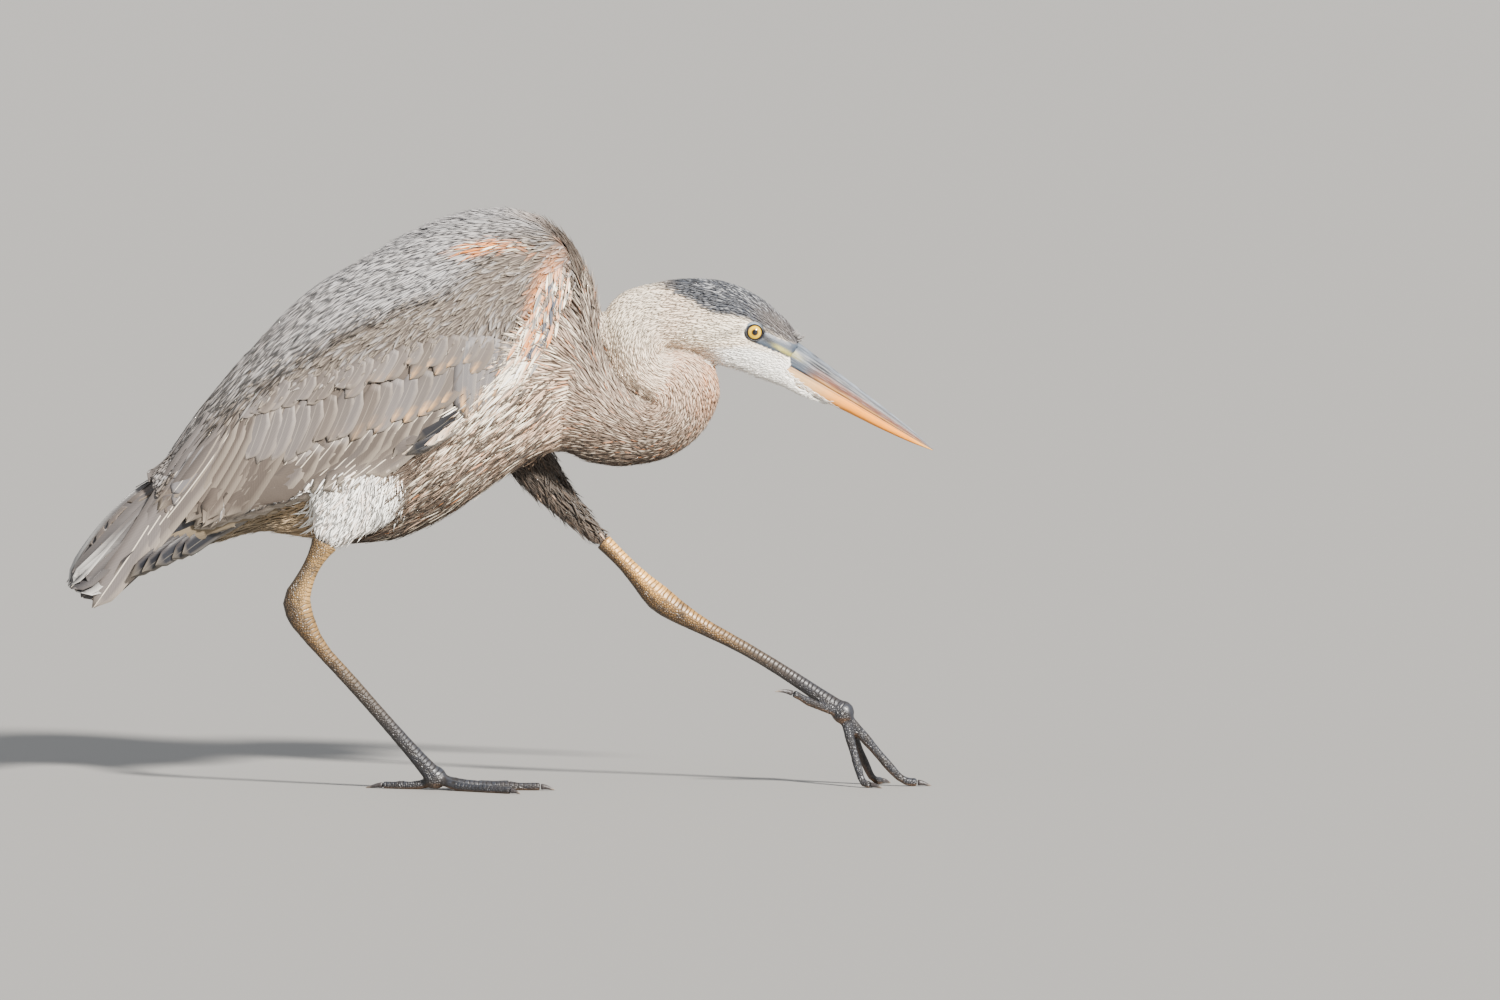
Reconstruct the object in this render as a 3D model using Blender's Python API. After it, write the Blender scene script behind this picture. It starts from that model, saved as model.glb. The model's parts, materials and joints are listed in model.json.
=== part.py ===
"""A great blue heron at life size, stalking: body low, neck folded in a tight S, bill level with the breast,
the right leg under the body and the left leg stretched out in front with its toes just set down.

Drawing axes: +X towards the bill, +Z up, the bird's right side at -Y, in millimetres. The floor is z = 0.
The finished objects are in metres, with the origin on the floor at the middle of the model's box.
"""

import math

import bmesh
import bpy
from mathutils import Matrix, Vector

MM = 0.001
GAP = 0.3  # clearance between neighbouring solids
CUT_GAP = 1.6 * GAP  # how far a cutter is grown, so that the gap holds along a slanted cut too
RIGHT, LEFT = -1, 1  # the side's sign along Y

# ---- Driving sizes, mm -----------------------------------------------------------------------------------
EYE_RADIUS = 10.0
EYE_CENTRE = (203.0, 10.6, 367.2)  # x, distance from the midline, z
NECK_FOLD_LOWER = Vector((120.8, 313.6))  # x, z of the axis that the neck's front bend turns about
NECK_FOLD_UPPER = Vector((134.4, 353.6))  # the axis of the bend behind the head
FOLD_HOLLOW = 1.5  # the neck's clearance round a fold's axis

# Ribs of the body from the tail's tip to the neck's front fold: the top and bottom of the outline as x, z,
# and the half width. Between ribs the form follows a smooth curve.
BODY_RIBS = (
    ("tail_tip", (-350, 164), (-321, 146), 18),
    ("tail_middle", (-333, 200), (-300, 162), 24),
    ("tail_coverts", (-300, 237), (-274, 184), 27),
    ("tail_root", (-264, 262), (-230, 194), 28),
    ("rump", (-235, 303), (-189, 206), 34),
    ("vent", (-193, 354), (-132, 197), 43),
    ("loin", (-159, 390), (-80, 200), 50),
    ("belly", (-128, 415), (-36, 222), 55),
    ("ribs", (-96, 435), (-2, 246), 57),
    ("keel", (-60, 454), (24, 263), 56),
    ("shoulder", (-16, 467), (36, 268), 52),
    ("collar", (28, 463), (44, 269), 44),
    ("neck_root", (59, 438), (50, 269), 35),
    ("neck_cut", (74, 410), (58, 267), 30),
    ("crop", (81, 378), (70, 261), 27),
    ("throat_low", (87, 347.5), (82, 259), 24.5),
    ("neck_turn", (101, 323.5), (96, 257.5), 22.5),
    ("fold", (119.6, 312), (112, 259), 21.5),
)
RIB_AT = {rib[0]: index for index, rib in enumerate(BODY_RIBS)}
BODY_FULLNESS = 2.2  # 2 is an ellipse, more is squarer
BODY_EGG = 0.06  # above 0 the body is wider above its middle than below

# Outer radius of each neck bend at angles about its fold axis, counted from +X towards +Z.
FRONT_BEND = (
    (-99, 54.4),
    (-62, 49.5),
    (-37, 50),
    (-12, 53),
    (2, 56.3),
    (18, 57.5),
    (30, 55.6),
    (43, 51.6),
    (71, 40.6),
)
FRONT_BEND_HALF_WIDTH = 22.0
BACK_BEND = (
    (251, 40.6),
    (219, 42.6),
    (194, 44.2),
    (168, 50.2),
    (150, 59),
    (131, 59),
    (106, 54.2),
    (90, 55.2),
)
BACK_BEND_HALF_WIDTH = 21.0
NECK_FULLNESS = 2.5

# Ribs of the head, as for the body: the last three are the feathered chin under the bill.
HEAD_RIBS = (
    ("nape", (134.4, 408.8), (134.4, 355.2), 21),
    ("hindcrown", (160, 410.4), (158, 351.6), 21),
    ("crown", (184, 406.4), (178, 339.6), 20.6),
    ("eye", (205.6, 396.8), (194, 335), 18.8),
    ("lore", (224, 382.4), (210, 328), 16),
    ("forehead", (238.5, 364.5), (226, 322), 12.5),
    ("chin", (246, 331), (240, 315), 7.5),
    ("chin_end", (258, 325), (256, 309.5), 5.5),
    ("chin_tip", (271, 307.5), (270, 304.5), 2.2),
)
HEAD_FULLNESS = 2.25

# The bill along the line where its halves meet: x, z, height of the upper half, depth of the lower one and
# half width.
BILL_STATIONS = (
    (216, 349, 20.0, 14.5, 10.6),
    (240, 335.2, 16.9, 13.0, 9.6),
    (280, 312, 11.5, 9.6, 6.6),
    (312, 292.8, 7.2, 6.6, 4.2),
    (332, 280.8, 3.9, 3.7, 2.3),
    (346, 272.4, 0.7, 0.7, 0.6),
)
BILL_SLOPE = math.radians(31.2)
BILL_TIP = 0.3  # least height of each half
BILL_WIDTH_POWER, BILL_HEIGHT_POWER = 0.85, 0.9  # 1 makes the cut half an ellipse, less makes it squarer

# The trunk's inner end and how far it lies inside the body's form, with room for the tail's feathers over it.
TRUNK_END = 1.95  # rib position
TRUNK_INSET, TAIL_ROOM = 0.4, 7.4
TRUNK_END_SHARE, TRUNK_FOOT = 0.12, 0.06  # its size at that end, and the share of height it shrinks to
TAIL_ARCH = 136  # degrees each way from the top that the tail feathers cover
UNDERTAIL_ARCH = 172  # degrees from the top where the room under the tail's feathers has closed

# The folded wing on the body's form: rib position, lower edge and upper edge as shares of the body's height
# there, and the thickness halfway across.
WING_SPAN = (
    (2.5, 0.52, 0.93, 2.5),
    (3.0, 0.30, 0.985, 6.5),
    (4.0, 0.20, 0.990, 8.0),
    (5.0, 0.30, 0.992, 9.5),
    (6.0, 0.32, 0.992, 11.5),
    (7.0, 0.28, 0.985, 13.0),
    (8.0, 0.28, 0.97, 14.0),
    (9.0, 0.35, 0.96, 14.5),
    (10.0, 0.43, 0.955, 13.5),
    (11.0, 0.54, 0.95, 11.5),
    (12.0, 0.76, 0.94, 7.5),
    (12.35, 0.85, 0.92, 3.0),
)
# The height of the wing's underside over the body's form, at rib positions.
WING_RISE = ((2.5, 4.2), (6.2, 4.2), (8.0, 0.9), (9.6, 0.9), (11.0, 2.0), (12.4, 2.4))
WING_EDGE = 1.6  # thickness at the wing's rim

# The black primaries that show under the wing's lower edge: rib position, lower and upper edge.
PRIMARY_SPAN = (
    (1.8, 0.16, 0.26),
    (2.2, 0.12, 0.34),
    (3.0, 0.10, 0.40),
    (4.0, 0.12, 0.42),
    (5.0, 0.24, 0.44),
    (5.6, 0.32, 0.42),
)
PRIMARY_RISE, PRIMARY_THICKNESS, PRIMARY_EDGE = 0.6, 2.1, 0.9

TAIL_SPAN = (0.0, 4.4)  # rib positions of the tail feathers' tips and roots
TAIL_INSET, TAIL_THICKNESS, TAIL_TIP_SHARE = 0.8, 4.6, 0.35

# Stations along each leg, as x, y, z, then half the leg's depth fore and aft and half its width.
RIGHT_LEG = (
    ("hip", (-106, -34, 268), 41, 19),
    ("thigh", (-114, -37, 243), 40, 20),
    ("thigh_low", (-126, -38, 222), 28, 17),
    ("garter", (-139, -38, 200), 11.5, 9.5),
    ("shank", (-148, -38, 184), 7.2, 5.6),
    ("shank_low", (-156, -37, 168), 8.2, 6.6),
    ("ankle", (-161.5, -36, 153), 11.4, 8.2),
    ("heel", (-157, -34, 137), 10.2, 7.2),
    ("tarsus_high", (-148, -31, 122), 7.0, 5.4),
)
LEFT_LEG = (
    ("hip", (10, 33, 288), 27, 17),
    ("thigh", (26, 34, 259), 20, 15),
    ("thigh_low", (50, 34, 229), 13, 10.5),
    ("garter", (82, 34, 197), 7.2, 6.4),
    ("shank", (99, 34, 180), 6.6, 5.4),
    ("shank_low", (114, 34, 164), 8.6, 6.6),
    ("ankle", (126, 34, 152), 11.0, 8.2),
    ("heel", (141, 33.5, 141), 9.6, 7.2),
    ("tarsus_high", (158, 33, 131), 7.4, 5.4),
)
TARSUS_DEPTH, TARSUS_WIDTH = 5.7, 4.6  # half sizes at the tarsus's waist
KNUCKLE_DEPTH, KNUCKLE_WIDTH = 9.6, 8.8  # half sizes where the toes spring
RIGHT_KNUCKLE, RIGHT_TARSUS_BOW = Vector((-52, -6, 9.9)), 0.0  # 183 mm from the ankle
LEFT_KNUCKLE, LEFT_TARSUS_BOW = Vector((274.5, 27, 60)), 3.6

# Toes: turn from straight ahead, positive away from the body, length without the claw, root radius and the
# claw's length.
TOES = {
    "hallux": (196, 46, 4.2, 17),
    "inner": (-27, 66, 4.1, 12),
    "middle": (0, 85, 4.5, 13),
    "outer": (29, 76, 4.1, 11),
}
RIGHT_FOOT_TURN, LEFT_FOOT_TURN = 4.0, 6.0
RIGHT_TOE_SPREAD, LEFT_TOE_SPREAD = 1.1, 1.35
RIGHT_TOE_LANDED, LEFT_TOE_LANDED = 0.75, 0.12  # share of a toe's length that lies along the floor
# The lifted hind toe's run and rise from the knuckle.
LIFTED_HALLUX = ((0, 0), (15, 3.5), (30, 9.5), (44, 16.5), (52, 18), (70, 14))
TOE_TIP_SHARE = 0.72  # tip radius over root radius
TOE_FLAT = 0.5  # how far a toe's underside is pressed flat
TOE_BEND = 3.0  # how gently a toe turns from its slope on to the floor
TOE_ROOT = 23.0  # distance from the knuckle where a toe becomes its own piece
TOE_SWELL, TOE_WAVES = 0.07, 3  # how much thicker a toe is at its joints, and how many there are
TOE_STEP, TOE_STEPS = 0.25, 600  # the steps that a toe's line is worked out in
CLAW_ROOT_SHARE, CLAW_TIP_RADIUS, CLAW_WIDTH = 0.86, 0.32, 0.8
CLAW_SIDES = 6

# ---- Colours ---------------------------------------------------------------------------------------------
COLOURS = {
    "plumage_grey": ((0.28, 0.26, 0.25), 0.85),
    "neck_buff": ((0.42, 0.36, 0.31), 0.85),
    "head_pale": ((0.62, 0.57, 0.50), 0.85),
    "primary_black": ((0.03, 0.032, 0.04), 0.7),
    "tail_grey": ((0.30, 0.29, 0.29), 0.85),
    "thigh_white": ((0.72, 0.68, 0.63), 0.9),
    "thigh_brown": ((0.25, 0.18, 0.11), 0.9),
    "bill_upper": ((0.22, 0.24, 0.28), 0.45),
    "bill_lower": ((0.65, 0.40, 0.15), 0.45),
    "eye_yellow": ((0.85, 0.60, 0.04), 0.08),
    "leg_skin": ((0.36, 0.26, 0.14), 0.65),
    "foot_skin": ((0.12, 0.12, 0.13), 0.65),
    "claw_horn": ((0.05, 0.045, 0.04), 0.4),
}


def paint(name):
    material = bpy.data.materials.get(name)
    if material:
        return material
    colour, roughness = COLOURS[name]
    material = bpy.data.materials.new(name)
    material.use_nodes = True
    shader = material.node_tree.nodes["Principled BSDF"]
    shader.inputs["Base Color"].default_value = (*colour, 1)
    shader.inputs["Roughness"].default_value = roughness
    shader.inputs["Metallic"].default_value = 0
    return material


# ---- Curves through stations -----------------------------------------------------------------------------
def smooth(knots, values, at):
    """The value at a position on the smooth curve through values (numbers or vectors) at the knots."""
    last = len(knots) - 1
    at = min(max(at, knots[0]), knots[last])
    i = max(j for j in range(last) if knots[j] <= at)

    def slope(j):
        if j in (0, last):
            near = 1 if j == 0 else last
            return (values[near] - values[near - 1]) / (knots[near] - knots[near - 1])
        before = (values[j] - values[j - 1]) / (knots[j] - knots[j - 1])
        after = (values[j + 1] - values[j]) / (knots[j + 1] - knots[j])
        share = (knots[j] - knots[j - 1]) / (knots[j + 1] - knots[j - 1])
        return before * (1 - share) + after * share

    width = knots[i + 1] - knots[i]
    t = (at - knots[i]) / width
    return (
        values[i] * (2 * t**3 - 3 * t**2 + 1)
        + slope(i) * (width * (t**3 - 2 * t**2 + t))
        + values[i + 1] * (3 * t**2 - 2 * t**3)
        + slope(i + 1) * (width * (t**3 - t**2))
    )


def column(table, index):
    """One column of a table as numbers, or as vectors where its cells are points."""
    cells = [row[index] for row in table]
    return [Vector(cell) if isinstance(cell, (tuple, Vector)) else float(cell) for cell in cells]


def spread(first, last, steps):
    return [first + (last - first) * i / steps for i in range(steps + 1)]


def ease(low, high, at):
    """0 below low, 1 above high and smooth between."""
    t = min(max((at - low) / (high - low), 0.0), 1.0)
    return t * t * (3 - 2 * t)


# ---- Cross-sections --------------------------------------------------------------------------------------
class Rib:
    """An upright cross-section between a top and a bottom point of the midplane."""

    def __init__(self, top, bottom, half_width, fullness=BODY_FULLNESS, egg=0.0):
        self.top, self.bottom = Vector((top[0], 0, top[1])), Vector((bottom[0], 0, bottom[1]))
        self.half_width, self.fullness, self.egg = half_width, fullness, egg

    def point(self, angle, offset=0.0):
        """The point at this angle from the top, towards the right side, moved out by offset."""
        c, s = math.cos(angle), math.sin(angle)
        power = 2 / self.fullness
        height = math.copysign(abs(c) ** power, c)
        width = math.copysign(abs(s) ** power, s) * self.half_width * (1 + self.egg * c)
        middle = (self.top + self.bottom) / 2
        out = (self.top - self.bottom) / 2 * height + Vector((0, RIGHT * width, 0))
        return middle + out * (1 + offset / max(out.length, 1e-6))

    def angle_at(self, share):
        """The angle of the point at this share of the height, from the bottom."""
        level = min(max(2 * share - 1, -1.0), 1.0)
        return math.acos(math.copysign(abs(level) ** (self.fullness / 2), level))

    def ring(self, count):
        return [self.point(2 * math.pi * k / count) for k in range(count)]

    def normal(self):
        """Across the cut, towards the bill where the ribs run forwards."""
        return (self.top - self.bottom).cross(Vector((0, 1, 0))).normalized() * -1


def body_rib(position):
    knots = range(len(BODY_RIBS))
    top, bottom, half_width = (smooth(knots, column(BODY_RIBS, k), position) for k in (1, 2, 3))
    towards_neck = ease(RIB_AT["collar"], RIB_AT["throat_low"], position)
    return Rib(
        top,
        bottom,
        half_width,
        BODY_FULLNESS + (NECK_FULLNESS - BODY_FULLNESS) * towards_neck,
        BODY_EGG * (1 - towards_neck),
    )


def bend_rib(bend, axis, angle, half_width, outer_is_top):
    """A rib that fans out from a neck fold's axis."""
    turned = sorted(bend)
    radius = smooth(column(turned, 0), column(turned, 1), angle)
    way = Vector((math.cos(math.radians(angle)), math.sin(math.radians(angle))))
    inner, outer = axis + way * FOLD_HOLLOW, axis + way * radius
    top, bottom = (outer, inner) if outer_is_top else (inner, outer)
    return Rib(top, bottom, half_width, NECK_FULLNESS)


def head_rib(position):
    knots = range(len(HEAD_RIBS))
    top, bottom, half_width = (smooth(knots, column(HEAD_RIBS, k), position) for k in (1, 2, 3))
    return Rib(top, bottom, half_width, HEAD_FULLNESS)


# ---- Meshes ----------------------------------------------------------------------------------------------
def solid(name, points, faces, material):
    """A closed mesh object from points in mm."""
    mesh = bpy.data.meshes.new(name)
    mesh.from_pydata([Vector(p) * MM for p in points], [], faces)
    shape = bmesh.new()
    shape.from_mesh(mesh)
    bmesh.ops.triangulate(shape, faces=shape.faces, quad_method="SHORT_EDGE")
    bmesh.ops.recalc_face_normals(shape, faces=shape.faces)
    shape.to_mesh(mesh)
    shape.free()
    mesh.shade_smooth()
    mesh.set_sharp_from_angle(angle=math.radians(50))
    mesh.materials.append(paint(material))
    obj = bpy.data.objects.new(name, mesh)
    bpy.context.scene.collection.objects.link(obj)
    return obj


def loft(name, rings, material):
    """A tube through rings of equal count, closed by flat ends."""
    count = len(rings[0])
    points = [p for ring in rings for p in ring]
    faces = [tuple(range(count)), tuple(len(points) - count + k for k in range(count))]
    for i in range(len(rings) - 1):
        for k in range(count):
            a, b = i * count + k, i * count + (k + 1) % count
            faces.append((a, b, b + count, a + count))
    return solid(name, points, faces, material)


def shell(name, outer, inner, material):
    """A plate between two grids of points of the same size."""
    rows, columns = len(outer), len(outer[0])
    points = [p for row in outer for p in row] + [p for row in inner for p in row]
    under = rows * columns
    faces = []
    for i in range(rows - 1):
        for k in range(columns - 1):
            a = i * columns + k
            quad = (a, a + 1, a + columns + 1, a + columns)
            faces += [quad, tuple(under + j for j in reversed(quad))]
    rim = list(range(columns))
    rim += [i * columns + columns - 1 for i in range(1, rows)]
    rim += [(rows - 1) * columns + k for k in range(columns - 2, -1, -1)]
    rim += [i * columns for i in range(rows - 2, 0, -1)]
    for a, b in zip(rim, rim[1:] + rim[:1]):
        faces.append((a, b, under + b, under + a))
    return solid(name, points, faces, material)


def part_ends(rings, normals, first=True, last=True):
    """Draws the end rings in by half a gap along their cuts' normals."""
    if first:
        rings[0] = [p + normals[0] * (GAP / 2) for p in rings[0]]
    if last:
        rings[-1] = [p - normals[-1] * (GAP / 2) for p in rings[-1]]
    return rings


def grown(obj, by):
    """A hidden copy of the object with its faces moved out."""
    copy = bpy.data.objects.new(obj.name + "_cutter", obj.data.copy())
    bpy.context.scene.collection.objects.link(copy)
    shape = bmesh.new()
    shape.from_mesh(copy.data)
    moves = [vertex.normal * (by * MM) for vertex in shape.verts]
    for vertex, move in zip(shape.verts, moves):
        vertex.co += move
    shape.to_mesh(copy.data)
    shape.free()
    copy.hide_render = True
    copy.display_type = "WIRE"
    return copy


def baked(obj):
    """Replaces the object's mesh by its evaluated one and keeps only the largest piece."""
    graph = bpy.context.evaluated_depsgraph_get()
    mesh = bpy.data.meshes.new_from_object(obj.evaluated_get(graph))
    obj.modifiers.clear()
    obj.data = mesh
    shape = bmesh.new()
    shape.from_mesh(mesh)
    bmesh.ops.remove_doubles(shape, verts=shape.verts, dist=3e-5)
    bmesh.ops.dissolve_degenerate(shape, edges=shape.edges, dist=1e-5)
    islands, seen = [], set()
    for start in shape.verts:
        if start in seen:
            continue
        island, todo = [], [start]
        seen.add(start)
        while todo:
            vertex = todo.pop()
            island.append(vertex)
            for edge in vertex.link_edges:
                other = edge.other_vert(vertex)
                if other not in seen:
                    seen.add(other)
                    todo.append(other)
        islands.append(island)
    islands.sort(key=len)
    for island in islands[:-1]:
        bmesh.ops.delete(shape, geom=island, context="VERTS")
    bmesh.ops.triangulate(shape, faces=shape.faces)
    by_corners = {}
    for face in shape.faces:
        by_corners.setdefault(frozenset(face.verts), []).append(face)
    fins = [face for faces in by_corners.values() if len(faces) > 1 for face in faces]
    bmesh.ops.delete(shape, geom=fins, context="FACES")
    shape.to_mesh(mesh)
    shape.free()
    mesh.set_sharp_from_angle(angle=math.radians(50))
    return obj


def cut(obj, *others, by=CUT_GAP):
    """Cuts the others, grown by the gap, out of the object."""
    for other in others:
        cutter = grown(other, by)
        change = obj.modifiers.new("cut_" + other.name, "BOOLEAN")
        change.operation, change.solver, change.object = "DIFFERENCE", "EXACT", cutter
        baked(obj)
        bpy.data.objects.remove(cutter)
    return obj


def stand_flat(obj):
    """Cuts off what is below the floor and closes the solid there."""
    shape = bmesh.new()
    shape.from_mesh(obj.data)
    bmesh.ops.bisect_plane(
        shape,
        geom=[*shape.verts, *shape.edges, *shape.faces],
        dist=1e-6,
        plane_co=(0, 0, 0),
        plane_no=(0, 0, -1),
        clear_outer=True,
    )
    rim = [edge for edge in shape.edges if edge.is_boundary]
    if rim:
        bmesh.ops.holes_fill(shape, edges=rim, sides=0)
    shape.to_mesh(obj.data)
    shape.free()


# ---- Trunk, tail and wings -------------------------------------------------------------------------------
TRUNK_SIDES = 20


def trunk_point(position, angle):
    """The trunk lies inside the body's form by what the tail and wings need over it."""
    rib = body_rib(position)
    rear = 1 - ease(RIB_AT["rump"], RIB_AT["loin"], position)
    from_top = min(angle, 2 * math.pi - angle)
    under = ease(math.radians(TAIL_ARCH + 5), math.radians(UNDERTAIL_ARCH), from_top)
    inset = TRUNK_INSET + TAIL_ROOM * rear * (1 - under)
    point = rib.point(angle, -inset)
    taper = ease(RIB_AT["tail_coverts"] - 0.25, RIB_AT["tail_root"] + 0.6, position)
    foot = rib.bottom + (rib.top - rib.bottom) * TRUNK_FOOT
    return foot + (point - foot) * (TRUNK_END_SHARE + (1 - TRUNK_END_SHARE) * taper)


def make_trunk():
    stations = spread(TRUNK_END, RIB_AT["rump"], 5)[:-1] + spread(RIB_AT["rump"], RIB_AT["neck_cut"], 14)
    rings = [[trunk_point(s, 2 * math.pi * k / TRUNK_SIDES) for k in range(TRUNK_SIDES)] for s in stations]
    normals = [body_rib(s).normal() for s in stations]
    return loft("trunk", part_ends(rings, normals, first=False), "plumage_grey")


def make_tail():
    stations = spread(*TAIL_SPAN, 8)
    angles = [math.radians(a) for a in spread(-TAIL_ARCH, TAIL_ARCH, 12)]
    outer, inner = [], []
    for s in stations:
        rib = body_rib(s)
        slim = TAIL_TIP_SHARE + (1 - TAIL_TIP_SHARE) * ease(0, 0.8, s)
        outer.append([rib.point(a, -TAIL_INSET) for a in angles])
        inner.append([rib.point(a, -TAIL_INSET - TAIL_THICKNESS * slim) for a in angles])
    return shell("tail", outer, inner, "tail_grey")


def plate(name, side, span, steps, across, rise, thickness, material):
    """A plate on the body's form, between the lower and upper edges that span gives at its rib positions."""
    knots = column(span, 0)
    outer, inner = [], []
    for s in spread(knots[0], knots[-1], steps):
        rib = body_rib(s)
        low, high = (rib.angle_at(smooth(knots, column(span, k), s)) for k in (1, 2))
        outer.append([])
        inner.append([])
        for v in spread(0, 1, across):
            angle = high + (low - high) * v
            lift = rise(s)
            for grid, offset in ((inner, lift), (outer, lift + thickness(s, v))):
                point = rib.point(angle, offset)
                point.y *= side * RIGHT
                grid[-1].append(point)
    return shell(name, outer, inner, material)


def make_wing(side, name):
    knots = column(WING_SPAN, 0)
    rises = column(WING_RISE, 0), column(WING_RISE, 1)

    def thickness(s, v):
        crown = math.sin(math.pi * v**0.8) ** 0.6 if 0 < v < 1 else 0
        end = ease(knots[0], knots[0] + 0.5, s) * (1 - ease(knots[-1] - 0.4, knots[-1], s) * 0.8)
        return WING_EDGE + (smooth(knots, column(WING_SPAN, 3), s) - WING_EDGE) * crown * max(end, 0.1)

    return plate(name, side, WING_SPAN, 18, 7, lambda s: smooth(*rises, s), thickness, "plumage_grey")


def make_primaries(side, name):
    def thickness(_, v):
        return PRIMARY_EDGE + (PRIMARY_THICKNESS - PRIMARY_EDGE) * math.sin(math.pi * v)

    return plate(name, side, PRIMARY_SPAN, 8, 3, lambda s: PRIMARY_RISE, thickness, "primary_black")


# ---- Neck and head ---------------------------------------------------------------------------------------
NECK_SIDES = 16


def make_neck():
    base = [body_rib(s) for s in spread(RIB_AT["neck_cut"], RIB_AT["fold"], 7)]
    front = [
        bend_rib(FRONT_BEND, NECK_FOLD_LOWER, a, FRONT_BEND_HALF_WIDTH, outer_is_top=False)
        for a in spread(FRONT_BEND[0][0], FRONT_BEND[-1][0], 10)
    ]
    back = [
        bend_rib(BACK_BEND, NECK_FOLD_UPPER, a, BACK_BEND_HALF_WIDTH, outer_is_top=True)
        for a in spread(BACK_BEND[0][0], BACK_BEND[-1][0], 12)
    ]
    front[0].half_width = base[-1].half_width
    for name, ribs, colour in (
        ("neck_base", base, "neck_buff"),
        ("neck_front", front, "neck_buff"),
        ("neck_back", back, "head_pale"),
    ):
        rings = [rib.ring(NECK_SIDES) for rib in ribs]
        loft(name, part_ends(rings, [rib.normal() for rib in ribs]), colour)


def bill_half(name, upward, material):
    """One half of the bill: half an ellipse over the line where the halves meet, thinning to the tip."""
    along = column(BILL_STATIONS, 0)
    up = Vector((math.sin(BILL_SLOPE), 0, math.cos(BILL_SLOPE))) * (1 if upward else -1)
    rings = []
    for x in [*spread(along[0], along[-2], 9), along[-1]]:
        z, height, depth, half_width = (smooth(along, column(BILL_STATIONS, k), x) for k in (1, 2, 3, 4))
        base = Vector((x, 0, z)) + up * (GAP / 2)
        rise = max((height if upward else depth) - GAP / 2, BILL_TIP)
        ring = []
        for angle in spread(0, math.pi, 8):
            out = math.copysign(abs(math.cos(angle)) ** BILL_WIDTH_POWER, math.cos(angle)) * half_width
            ring.append(base + Vector((0, out, 0)) + up * (rise * math.sin(angle) ** BILL_HEIGHT_POWER))
        rings.append(ring)
    return loft(name, rings, material)


def make_eye(side, name):
    mesh = bmesh.new()
    bmesh.ops.create_uvsphere(mesh, u_segments=14, v_segments=8, radius=EYE_RADIUS)
    x, out, z = EYE_CENTRE
    bmesh.ops.rotate(mesh, verts=mesh.verts, matrix=Matrix.Rotation(math.pi / 2, 3, "X"))
    points = [vertex.co + Vector((x, side * out, z)) for vertex in mesh.verts]
    faces = [[vertex.index for vertex in face.verts] for face in mesh.faces]
    mesh.free()
    return solid(name, points, faces, "eye_yellow")


def make_head():
    upper = bill_half("bill_upper", True, "bill_upper")
    lower = bill_half("bill_lower", False, "bill_lower")
    eyes = [make_eye(RIGHT, "eye_right"), make_eye(LEFT, "eye_left")]
    ribs = [head_rib(s) for s in spread(0, len(HEAD_RIBS) - 1, 16)]
    rings = [rib.ring(NECK_SIDES) for rib in ribs]
    head = loft("head", part_ends(rings, [rib.normal() for rib in ribs], last=False), "head_pale")
    cut(head, upper, lower, *eyes)


# ---- Legs ------------------------------------------------------------------------------------------------
LEG_SIDES, TOE_SIDES = 10, 8


def limb(name, at, distances, sides, material, first=True, last=True):
    """A tube with its rings square to its line. at gives the line's point, half depth and half width."""
    rings, ways = [], []
    for distance in distances:
        point, depth, width = at(distance)
        way = (at(distance + 0.5)[0] - at(distance - 0.5)[0]).normalized()
        across = (Vector((0, 1, 0)) - way * way.y).normalized()
        fore = across.cross(way)
        rings.append([
            point
            + fore * (depth * math.cos(2 * math.pi * k / sides))
            + across * (width * math.sin(2 * math.pi * k / sides))
            for k in range(sides)
        ])
        ways.append(way)
    return loft(name, part_ends(rings, ways, first, last), material)


def make_leg(table, knuckle, bow, feathered, skin, name):
    """Thigh, shank and tarsus, parted at the garter and at the heel."""
    rows = [(Vector(point), depth, width) for _, point, depth, width in table]
    start = rows[-1][0]
    for share, depth, width in (
        (0.3, TARSUS_DEPTH, TARSUS_WIDTH),
        (0.65, TARSUS_DEPTH, TARSUS_WIDTH),
        (0.88, TARSUS_DEPTH + 0.9, TARSUS_WIDTH + 1.4),
        (1.0, KNUCKLE_DEPTH - 1.4, KNUCKLE_WIDTH - 1.4),
    ):
        lift = Vector((0, 0, 4 * bow * share * (1 - share)))
        rows.append((start.lerp(knuckle, share) + lift, depth, width))
    knots = [0.0]
    for (a, _, _), (b, _, _) in zip(rows, rows[1:]):
        knots.append(knots[-1] + (b - a).length)
    columns = [column(rows, k) for k in range(3)]

    def at(distance):
        return [smooth(knots, values, distance) for values in columns]

    names = [row[0] for row in table]
    garter, heel, foot = knots[names.index("garter")], knots[names.index("heel")], knots[-1]
    return (
        limb("thigh_" + name, at, spread(0, garter, 7), LEG_SIDES, feathered, first=False),
        limb("shank_" + name, at, spread(garter, heel, 9), LEG_SIDES, skin),
        limb("tarsus_" + name, at, spread(heel, foot, 10), LEG_SIDES, skin, last=False),
    )


def toe_line(knuckle, length, rest, landed, lifted):
    """The toe from its side, as runs and heights: lifted, or falling to the floor and running along it."""
    drop = knuckle.z - rest
    sloping = max(length * (1 - landed), drop * 1.05)
    landing = math.sqrt(sloping**2 - drop**2)
    line = []
    for i in range(TOE_STEPS):
        run = i * TOE_STEP
        if lifted:
            height = knuckle.z + smooth(column(lifted, 0), column(lifted, 1), run)
        else:
            above = drop * (1 - run / landing) / TOE_BEND
            start = math.exp(-run / 4) * math.log1p(math.exp(-above))
            height = rest + TOE_BEND * (math.log1p(math.exp(above)) - start)
        line.append((run, height))
    return line


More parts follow.
